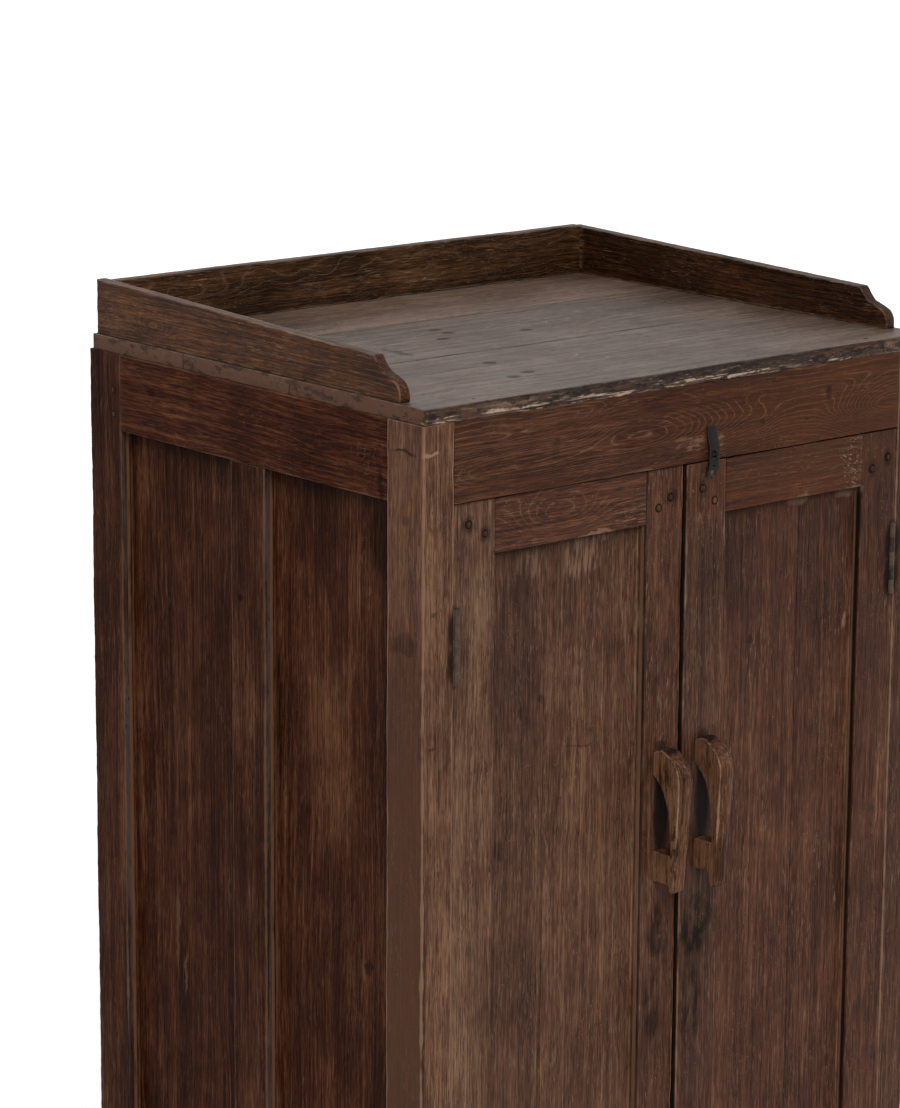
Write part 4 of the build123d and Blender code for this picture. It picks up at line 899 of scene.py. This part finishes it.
def gap_dirt(low, high, kind, side):
    """Painted shade down the edge of a stile that faces the gap beside it: the gap painted black.
    """
    edge_x = low.x if (kind == "hinge") == (side == "left") else high.x

    def amounts(points):
        beside = np.abs(points[:, 0] - edge_x) < 0.8 * MM
        return np.where(beside, 0.95 * np.clip((points[:, 1] - low.y) / (3.0 * MM), 0, 1), 0.0)

    return amounts


def build_doors():
    for side, tones in DOOR_TONES.items():
        body = f"{side}_door"
        hinge, meeting = box[f"{side}_hinge_stile"], box[f"{side}_meeting_stile"]
        first, second = (hinge, meeting) if side == "left" else (meeting, hinge)
        span_x = (first[1].x, second[0].x)
        for kind, (low, high), worn in (("hinge", hinge, 0.6), ("meeting", meeting, 0.85)):
            board(f"{side}_{kind}_stile", low, high, "z", "oiled_teak", body, tone=tones[kind],
                  arris=1.3, pitch=5, worn=worn, grime=gap_dirt(low, high, kind, side))
        rails = {end: box[f"{body}_{end}_rail"] for end in ("bottom", "top")}
        for end, (low, high) in rails.items():
            board(f"{body}_{end}_rail", (span_x[0] + GAP, low.y, low.z),
                  (span_x[1] - GAP, high.y, high.z), "x", "oiled_teak", body, tone=tones[end],
                  arris=0.9, pitch=6, worn=0.35)
        # painted shade with grime along the panels' edges, and a painted highlight by their far
        # walls (lit)
        dirt = frame_dirt("x", span_x, (rails["bottom"][1].z, rails["top"][0].z), reach=5,
                          top_more=2.0, far_less=5)
        for kind in ("outer", "inner"):
            name = f"{body}_{kind}_panel"
            board(name, *box[name], "z", "oiled_teak", body, tone=tones[kind], arris=0.7,
                  near=(1.5, 4, 8.5, 11, 13, 16, 22, 34), grime=dirt, pitch=7, worn=0.18,
                  lit=("x", span_x[1] - 4 * MM, 0.16))


def broken_edge(points):
    """Wear away the front face of the top in hollows along the grain."""
    front = points[..., 1].min()
    for point in points.reshape(-1, 3):
        depth = 1 - min((point[1] - front) / (3.0 * MM), 1.0)
        if depth > 0:
            place = Vector((point[0] * 14, 0.0, point[2] * 90))
            fine = noise.noise(Vector((point[0] * 160, 3.0, point[2] * 260)))
            hollow = noise.fractal(place, 1.0, 2.2, 4) + 0.45 * fine
            back = 2.6 * max(0.0, hollow + 0.12) ** 0.8 + 0.25 * noise.noise(place * 9)
            point[1] += depth * min(back, 4.2) * MM


def build_top():
    for name, tone in (("top_rear_plank", (0.19, 0.14, 0.35)), ("top_middle_plank", (0.0, 0, 0.35)),
                       ("top_front_plank", (0.12, 0, 0.3))):
        low, high = box[name]
        facing = [("x", side, (-0.24, 1.0, 0.2)) for side in (-1, 1)]
        near, pitch, reshape, open_y = (1.5, 4, 8), 6, None, low.y
        if name == "top_front_plank":
            facing.append(("y", -1, (-0.30, 0.55, 0.4)))
            near, pitch, reshape, open_y = (0.8, 1.9, 3.2, 4.8, 6.6, 8.6), 2.6, broken_edge, -9
        board(name, low, high, "x", "weathered_top_teak", tone=tone, arris=1.0, pitch=pitch,
              near=near, faced=facing, reshape=reshape, worn=0.8,
              grime=frame_dirt("y", (open_y, high.y), ANYWHERE, reach=1.6, amount=0.75))


build_case()
build_front_rails()
build_rear()
build_inside()
build_doors()
build_top()

# Gallery and handles: pieces sawn to an outline ----


def smoothed(corners, pitch):
    """Points along a closed outline. A corner is (a, b), or (a, b, "curve") on a smooth curve."""
    points = []
    count = len(corners)
    for index in range(count):
        before, here, after, beyond = (corners[(index + k) % count] for k in (-1, 0, 1, 2))
        p1, p2 = np.array(here[:2], float), np.array(after[:2], float)
        runs = max(1, int(np.linalg.norm(p2 - p1) / pitch))
        if len(here) > 2 and len(after) > 2:
            p0 = np.array(before[:2], float) if len(before) > 2 else p1
            p3 = np.array(beyond[:2], float) if len(beyond) > 2 else p2
            for k in range(runs):
                t = k / runs
                points.append(0.5 * ((2 * p1) + (p2 - p0) * t
                                     + (2 * p0 - 5 * p1 + 4 * p2 - p3) * t * t
                                     + (3 * p1 - p0 - 3 * p2 + p3) * t ** 3))
        else:
            points += [p1 + (p2 - p1) * k / runs for k in range(runs)]
    return np.array(points)


def curved(*corners):
    return [(*corner, "curve") for corner in corners]


def sawn(name, outline, x_low, x_high, finish, body, tone, arris, grain_axes, width=1.0,
         roundness=1.0, proud=None, far_round=1.0, worn=0.85, bright=(1.0,) * (ARC_STEPS + 1),
         side_tone=0.0, rough=0.25):
    """A piece sawn to an outline in the YZ plane (counter-clockwise from +X), with rounded arrises.

    width, roundness and proud say for each point how wide the piece is, how round its arrises
    are and how far its middle stands out in millimetres.
    """
    rng = seeded(name)
    count = len(outline)
    behind = np.roll(outline, 1, 0)
    tangent = np.roll(outline, -1, 0) - behind
    tangent /= np.linalg.norm(tangent, axis=1)[:, None]
    outward = np.stack([tangent[:, 1], -tangent[:, 0]], axis=1)
    run = np.concatenate([[0], np.cumsum(np.linalg.norm(outline - behind, axis=1)[1:])])
    radius = arris * MM * (1 + 0.3 * ripple(run, 0.045, rng) + 0.2 * ripple(run, 0.013, rng))
    radius = np.maximum(radius * roundness, 0.25 * MM)
    mid, halves = (x_low + x_high) / 2, np.full(count, (x_high - x_low) / 2) * width
    rings, wear = [], []

    def add(x, inset, worn_here):
        flat = outline - outward * inset[:, None]
        rings.append(np.column_stack([mid + x, flat[:, 0], flat[:, 1]]))
        wear.append(np.full(count, worn_here))

    def add_arris(sign, turns):
        for turn in turns:
            angle = math.pi / 2 * turn / ARC_STEPS
            add(sign * (halves - radius * (1 - math.cos(angle))), radius * (1 - math.sin(angle)),
                bright[turn])

    add(-halves, radius + 0.5 * MM, 0.15)
    add_arris(-1, range(ARC_STEPS + 1))
    crown = 0.12 * radius if proud is None else proud * MM
    for share in (-0.8, -0.6, -0.35, -0.1, 0.15, 0.4, 0.65, 0.85):
        rise = 1 - ((share - 0.3) / (1.3 if share < 0.3 else 0.7)) ** 2
        add((halves - radius) * share, -crown * rise, 0.25)
    radius = radius * far_round
    add_arris(1, range(ARC_STEPS, -1, -1))
    add(halves, radius + 0.5 * MM, 0.15)
    points = np.concatenate(rings)
    for index, point in enumerate(points):
        lump = noise.noise(Vector(point) * 55) + 0.5 * noise.noise(Vector(point) * 140)
        points[index, 1] += lump * rough * MM * 0.7
        points[index, 2] += lump * rough * MM * 0.4
    made = link_rings(name, points.reshape(len(rings), count, 3), finish)
    work = bmesh.new()
    work.from_mesh(made.data)
    bmesh.ops.recalc_face_normals(work, faces=work.faces)
    work.to_mesh(made.data)
    work.free()
    tones = np.tile(np.array(tone, float), (len(points), 1))
    tones[:2 * count, 0] += side_tone
    tones[-2 * count:, 0] += side_tone
    hand_in(made, finish, body, [name], grain_of(points, rng, *grain_axes), tones,
            np.concatenate(wear) * worn)


def build_gallery():
    for side, tone in (("left", (-0.04, 0.30, 0.35)), ("right", (-0.22, 0.4, 0.2))):
        low, high = box[f"gallery_{side}"]
        base, front, rear = low.z / MM, low.y / MM, high.y / MM
        rise = high.z / MM - base + (2 if side == "left" else -2)
        nose = curved((53, 53.9), (45, 43.5), (37, 36.2), (21, 30.6), (8, 24.6), (1.4, 15.1),
                      (0, 6))
        outline = [(rear, base), (rear, base + rise)]
        outline += [(front + y, base + z, *rest) for y, z, *rest in ((54, 54.5), *nose, (0, 0))]
        sawn(f"gallery_{side}", smoothed(outline, 4.0) * MM, low.x, high.x, "gallery_teak", "case",
             tone, 1.7, (1, 2, 0))
    low, high = box["gallery_back"]
    board("gallery_back", (box["gallery_left"][1].x, low.y, low.z),
          (box["gallery_right"][0].x, high.y, high.z), "x", "gallery_teak",
          tone=(-0.12, 0.1, 0.40), arris=1.6, pitch=6)


GRIP = ((0, 0), (14, -6), (30, 1), (41, 10.5), (48.6, 23), (50.8, 38), (49.4, 60), (48.0, 83),
        (46.0, 118), (43.6, 145))


def build_handles():
    for side, face, tip, lighter in (("left", -332.0, 186, 0.12), ("right", -338.0, 196, 0.06)):
        low, high = box[f"{side}_handle"]
        top = high.z / MM - 6
        corners = curved(*GRIP, (41.2, tip - 5), (39.6, tip + 3), (35.6, tip + 6.6),
                         (31.6, tip + 3.5), (30.2, tip - 3))
        corners += [(29.6, 181.5), (0, 181.5), (0, 139), (33.4, 139), (33.9, 133)]
        corners += curved((33.8, 132), (31.2, 91), (24, 62), (14, 45), (0.5, 31)) + [(0, 30)]
        points = smoothed(corners, 3.0)
        outline = np.column_stack([face - points[:, 0], top - points[:, 1]]) * MM
        drop, reach = top - outline[:, 1] / MM, face - outline[:, 0] / MM
        grip_inside = np.interp(drop, (-8, 30, 62, 91, 133, 210), (-9, 2, 24, 32, 36, 36))
        outside = np.clip((reach - grip_inside) / 6, 0, 1)
        width = 1 - 0.20 * np.clip((drop - 40) / 160, 0, 1)
        roundness = np.clip(reach / 7, 0.06, 1) * (0.35 + 0.65 * outside)
        sawn(f"{side}_handle", outline, low.x, high.x, "handle_teak", f"{side}_door",
             (lighter, 0.0, 0.3), 3.2, (2, 0, 1), width, roundness, outside * 1.6, far_round=0.8,
             worn=1.0, bright=(0.2, 0.7, 1.0, 0.7, 0.2), side_tone=0.36, rough=0.4)


build_gallery()
build_handles()

# Ironwork ------------------------------------------


def forged(node, body, lighter, bevel=0.35):
    """An iron piece: the node's own shape with softened arrises."""
    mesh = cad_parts[node].data.copy()
    mesh.name = node
    for key in [a.name for a in mesh.attributes if a.name.startswith("_")]:
        mesh.attributes.remove(mesh.attributes[key])
    work = bmesh.new()
    work.from_mesh(mesh)
    bmesh.ops.remove_doubles(work, verts=work.verts, dist=WELD)
    bmesh.ops.dissolve_limit(work, angle_limit=math.radians(1.0), verts=work.verts,
                             edges=work.edges)
    sharp = [e for e in work.edges
             if len(e.link_faces) == 2 and e.calc_face_angle(0) > math.radians(35)]
    bmesh.ops.bevel(work, geom=sharp, offset=bevel * MM, segments=2, profile=0.6, affect="EDGES",
                    clamp_overlap=True)
    for face in work.faces:
        face.smooth = True
    # points on sharp arrises, later painted paler: rubbed, and a painted highlight
    ridge = [float(max((e.calc_face_angle(0) for e in v.link_edges), default=0) > math.radians(33))
             for v in work.verts]
    work.to_mesh(mesh)
    work.free()
    mesh.materials.clear()
    mesh.materials.append(finishes["dark_iron"])
    hand_in(link(node, mesh), "dark_iron", body, [node], np.zeros((len(ridge), 3)),
            (lighter, 0, 0), ridge)


forged("frame_hinge_leaves", "case", 0.14)
forged("hinge_pins", "case", 0.05)
forged("hasp_staple", "case", -0.15)
forged("left_door_hinge_leaves", "left_door", 0.14)
forged("right_door_hinge_leaves", "right_door", -0.02)
forged("hasp_foot", "right_door", -0.26, 0.8)
forged("hasp_pin", "right_door", -0.1)
forged("hasp_strap", "hasp", -0.26, 0.8)

# Pegs and nails ------------------------------------

RING_HEIGHT = 1.1 * MM  # of the dark ring round a head


def stud_tree():
    """Heads of pegs or nails on the points of a mesh, each in a dark ring."""
    tree = bpy.data.node_groups.new("studs", "GeometryNodeTree")
    inputs = (("Points", "Geometry"), ("Height", "Float"), ("Ring", "Float"), ("Tilt", "Float"),
              ("Seed", "Int"), ("Domed", "Bool"), ("Head", "Material"), ("Gap", "Material"))
    for name, kind in inputs:
        tree.interface.new_socket(name, in_out="INPUT", socket_type="NodeSocket" + kind)
    tree.interface.new_socket("Studs", in_out="OUTPUT", socket_type="NodeSocketGeometry")
    entry = tree.nodes.new("NodeGroupInput").outputs

    def add(kind, settings=None, sockets=(), **named):
        """Add a node: its settings, its sockets by number, and its sockets by name."""
        made = tree.nodes.new(kind)
        for key, value in (settings or {}).items():
            setattr(made, key, value)
        for key, value in (*enumerate(sockets), *named.items()):
            socket = made.inputs[key.replace("_", " ") if isinstance(key, str) else key]
            if isinstance(value, bpy.types.NodeSocket):
                tree.links.new(value, socket)
            else:
                socket.default_value = value
        return made.outputs[0] if made.outputs else None

    facing = add("GeometryNodeInputNamedAttribute", {"data_type": "FLOAT_VECTOR"}, Name="facing")
    girth = add("GeometryNodeInputNamedAttribute", {"data_type": "FLOAT"}, Name="girth")
    aim = add("FunctionNodeAlignRotationToVector", {"axis": "Z"}, Vector=facing)
    lean = add("FunctionNodeRandomValue", {"data_type": "FLOAT_VECTOR"}, ((-1, -1, -3), (1, 1, 3)),
               Seed=entry["Seed"])
    tilt = add("ShaderNodeVectorMath", {"operation": "SCALE"}, Vector=lean, Scale=entry["Tilt"])
    turn = add("FunctionNodeEulerToRotation", Euler=tilt)
    leaning = add("FunctionNodeRotateRotation", {"rotation_space": "LOCAL"}, (aim, turn))
    ball = add("GeometryNodeMeshUVSphere", Segments=16, Rings=8, Radius=1.0)
    disc = add("GeometryNodeMeshCylinder", Vertices=16, Radius=1.0, Depth=2.0)
    head = add("GeometryNodeSwitch", {"input_type": "GEOMETRY"}, (entry["Domed"], disc, ball))
    size = add("ShaderNodeCombineXYZ", X=girth, Y=girth, Z=entry["Height"])
    heads = add("GeometryNodeInstanceOnPoints", Points=entry["Points"], Instance=head,
                Rotation=leaning, Scale=size)
    coloured = add("GeometryNodeSetMaterial", Geometry=heads, Material=entry["Head"])
    hoop = add("GeometryNodeCurvePrimitiveCircle", Resolution=20, Radius=1.20)
    section = add("GeometryNodeCurvePrimitiveCircle", Resolution=6, Radius=entry["Ring"])
    gap = add("GeometryNodeCurveToMesh", Curve=hoop, Profile_Curve=section)
    wide = add("ShaderNodeCombineXYZ", X=girth, Y=girth, Z=RING_HEIGHT)
    gaps = add("GeometryNodeInstanceOnPoints", Points=entry["Points"], Instance=gap, Rotation=aim,
               Scale=wide)
    dark = add("GeometryNodeSetMaterial", Geometry=gaps, Material=entry["Gap"])
    both = tree.nodes.new("GeometryNodeJoinGeometry")
    for part in (coloured, dark):
        tree.links.new(part, both.inputs[0])
    real = add("GeometryNodeRealizeInstances", Geometry=both.outputs[0])
    shaded = add("GeometryNodeSetShadeSmooth", Geometry=real)
    add("NodeGroupOutput", None, (shaded,))
    return tree, {socket.name: socket.identifier for socket in tree.interface.items_tree
                  if socket.in_out == "INPUT"}


STUDS, STUD_INPUTS = stud_tree()


def studs(node, body, heads, height, ring, domed, head, gap):
    """The visible heads of a node's pegs or nails. heads holds (place, direction, radius)."""
    places, facings, girths = zip(*heads)
    mesh = bpy.data.meshes.new(node)
    mesh.from_pydata(places, [], [])
    carry(mesh, facing=facings, girth=girths)
    holder = link(node, mesh)
    modifier = holder.modifiers.new("studs", "NODES")
    modifier.node_group = STUDS
    for key, value in {"Height": height, "Ring": ring, "Tilt": 0.05, "Domed": domed,
                       "Seed": zlib.crc32(node.encode()) % 999, "Head": finishes[head],
                       "Gap": finishes[gap]}.items():
        modifier[STUD_INPUTS[key]] = value
    evaluated = holder.evaluated_get(bpy.context.evaluated_depsgraph_get())
    solid = bpy.data.meshes.new_from_object(evaluated)
    holder.modifiers.clear()
    holder.data = solid
    points = np.zeros(len(solid.vertices) * 3, np.float32)
    solid.vertices.foreach_get("co", points)
    for key in [a.name for a in solid.attributes if a.name in ("facing", "girth")]:
        solid.attributes.remove(solid.attributes[key])
    points = points.reshape(-1, 3)
    hand_in(holder, head, body, [node], grain_of(points, seeded(node), 2, 0, 1),
            (-0.04, 0.1, 0.0), np.zeros(len(points)))


def heads_of(node):
    """Where a node's pegs or nails show: their outer ends, the way those face, and their radius."""
    found = []
    for low, high in solids_of(node):
        size, centre = high - low, (low + high) / 2
        axis = int(np.argmax(np.abs(size - np.median(size))))
        if size[axis] < np.median(size):
            axis = int(np.argmax(size))
        outer = centre[axis] > MIDDLE[axis]
        centre[axis] = high[axis] if outer else low[axis]
        facing = [0.0, 0.0, 0.0]
        facing[axis] = 1.0 if outer else -1.0
        found.append((tuple(centre), tuple(facing), float(np.median(size)) / 2))
    return found


PEGS = {"domed": False, "head": "peg_teak", "gap": "peg_gap", "height": 0.6 * MM}
NAILS = {"domed": True, "head": "dark_iron", "gap": "dark_iron", "ring": 0.05}
for door_side in ("left", "right"):
    door = f"{door_side}_door"
    back = box[f"{door_side}_hinge_stile"][1].y
    through_pegs = []
    for (peg_x, peg_y, peg_z), peg_facing, peg_radius in heads_of(f"{door}_pegs"):
        through_pegs += [((peg_x, peg_y, peg_z), peg_facing, peg_radius),
                         ((peg_x, back, peg_z), (0, 1, 0), peg_radius)]
    studs(f"{door}_pegs", door, through_pegs, ring=0.36, **PEGS)
    studs(f"{door}_nails", door, heads_of(f"{door}_nails"), height=0.5 * MM, **NAILS)
studs("case_pegs", "case", heads_of("case_pegs"), ring=0.34, **PEGS)
studs("case_nails", "case", heads_of("case_nails"), height=0.45 * MM, **NAILS)

# Light and floor -----------------------------------


def seen_directly(start):
    """1 for what is seen by the camera, also in a gloss or through something."""
    return most(*(start.node("LightPath", None, None, out=f"Is {kind} Ray")
                  for kind in ("Camera", "Glossy", "Transmission")))


def light_the_room():
    world = bpy.data.worlds.new("studio")
    world.use_nodes = True
    scene.world = world
    world.node_tree.nodes.clear()
    start = Tone(world.node_tree)
    fill, white = (start.node("Background", None, {"Color": (1, 1, 1, 1), "Strength": strength})
                   for strength in (0.42, 1.0))
    shown = start.node("MixShader", None, {0: seen_directly(start), 1: fill, 2: white})
    start.node("OutputWorld", None, {"Surface": shown})
    for name, direction, strength, angle in (("key", (0.42, 0.78, -0.62), 1.8, 22),
                                             ("side", (-0.75, 0.45, -0.55), 0.7, 35),
                                             ("back", (0.1, -0.8, -0.5), 0.9, 40)):
        data = bpy.data.lights.new(name, "SUN")
        data.energy = strength
        data.angle = math.radians(angle)
        link(name, data).rotation_euler = Vector(direction).to_track_quat("-Z", "Y").to_euler()


def lay_floor():
    """A white floor that keeps the shadow."""
    material, start = new_finish("floor_white")
    matt = start.node("BsdfDiffuse", None, {"Color": (0.82, 0.82, 0.82, 1)})
    glow = start.node("Emission", None, {"Color": (1, 1, 1, 1), "Strength": 0.4})
    both = start.node("AddShader", None, {0: matt, 1: glow})
    shown = start.node("MixShader", None, {0: seen_directly(start), 1: matt, 2: both})
    start.node("OutputMaterial", None, {"Surface": shown})
    mesh = bpy.data.meshes.new("floor")
    reach = 60
    corners = [(reach * x, reach * y, 0) for x, y in ((-1, -1), (1, -1), (1, 1), (-1, 1))]
    mesh.from_pydata(corners, [], [(0, 1, 2, 3)])
    mesh.materials.append(material)
    link("floor", mesh)


light_the_room()
lay_floor()
scene.view_settings.view_transform = "Standard"

bpy.context.view_layer.update()
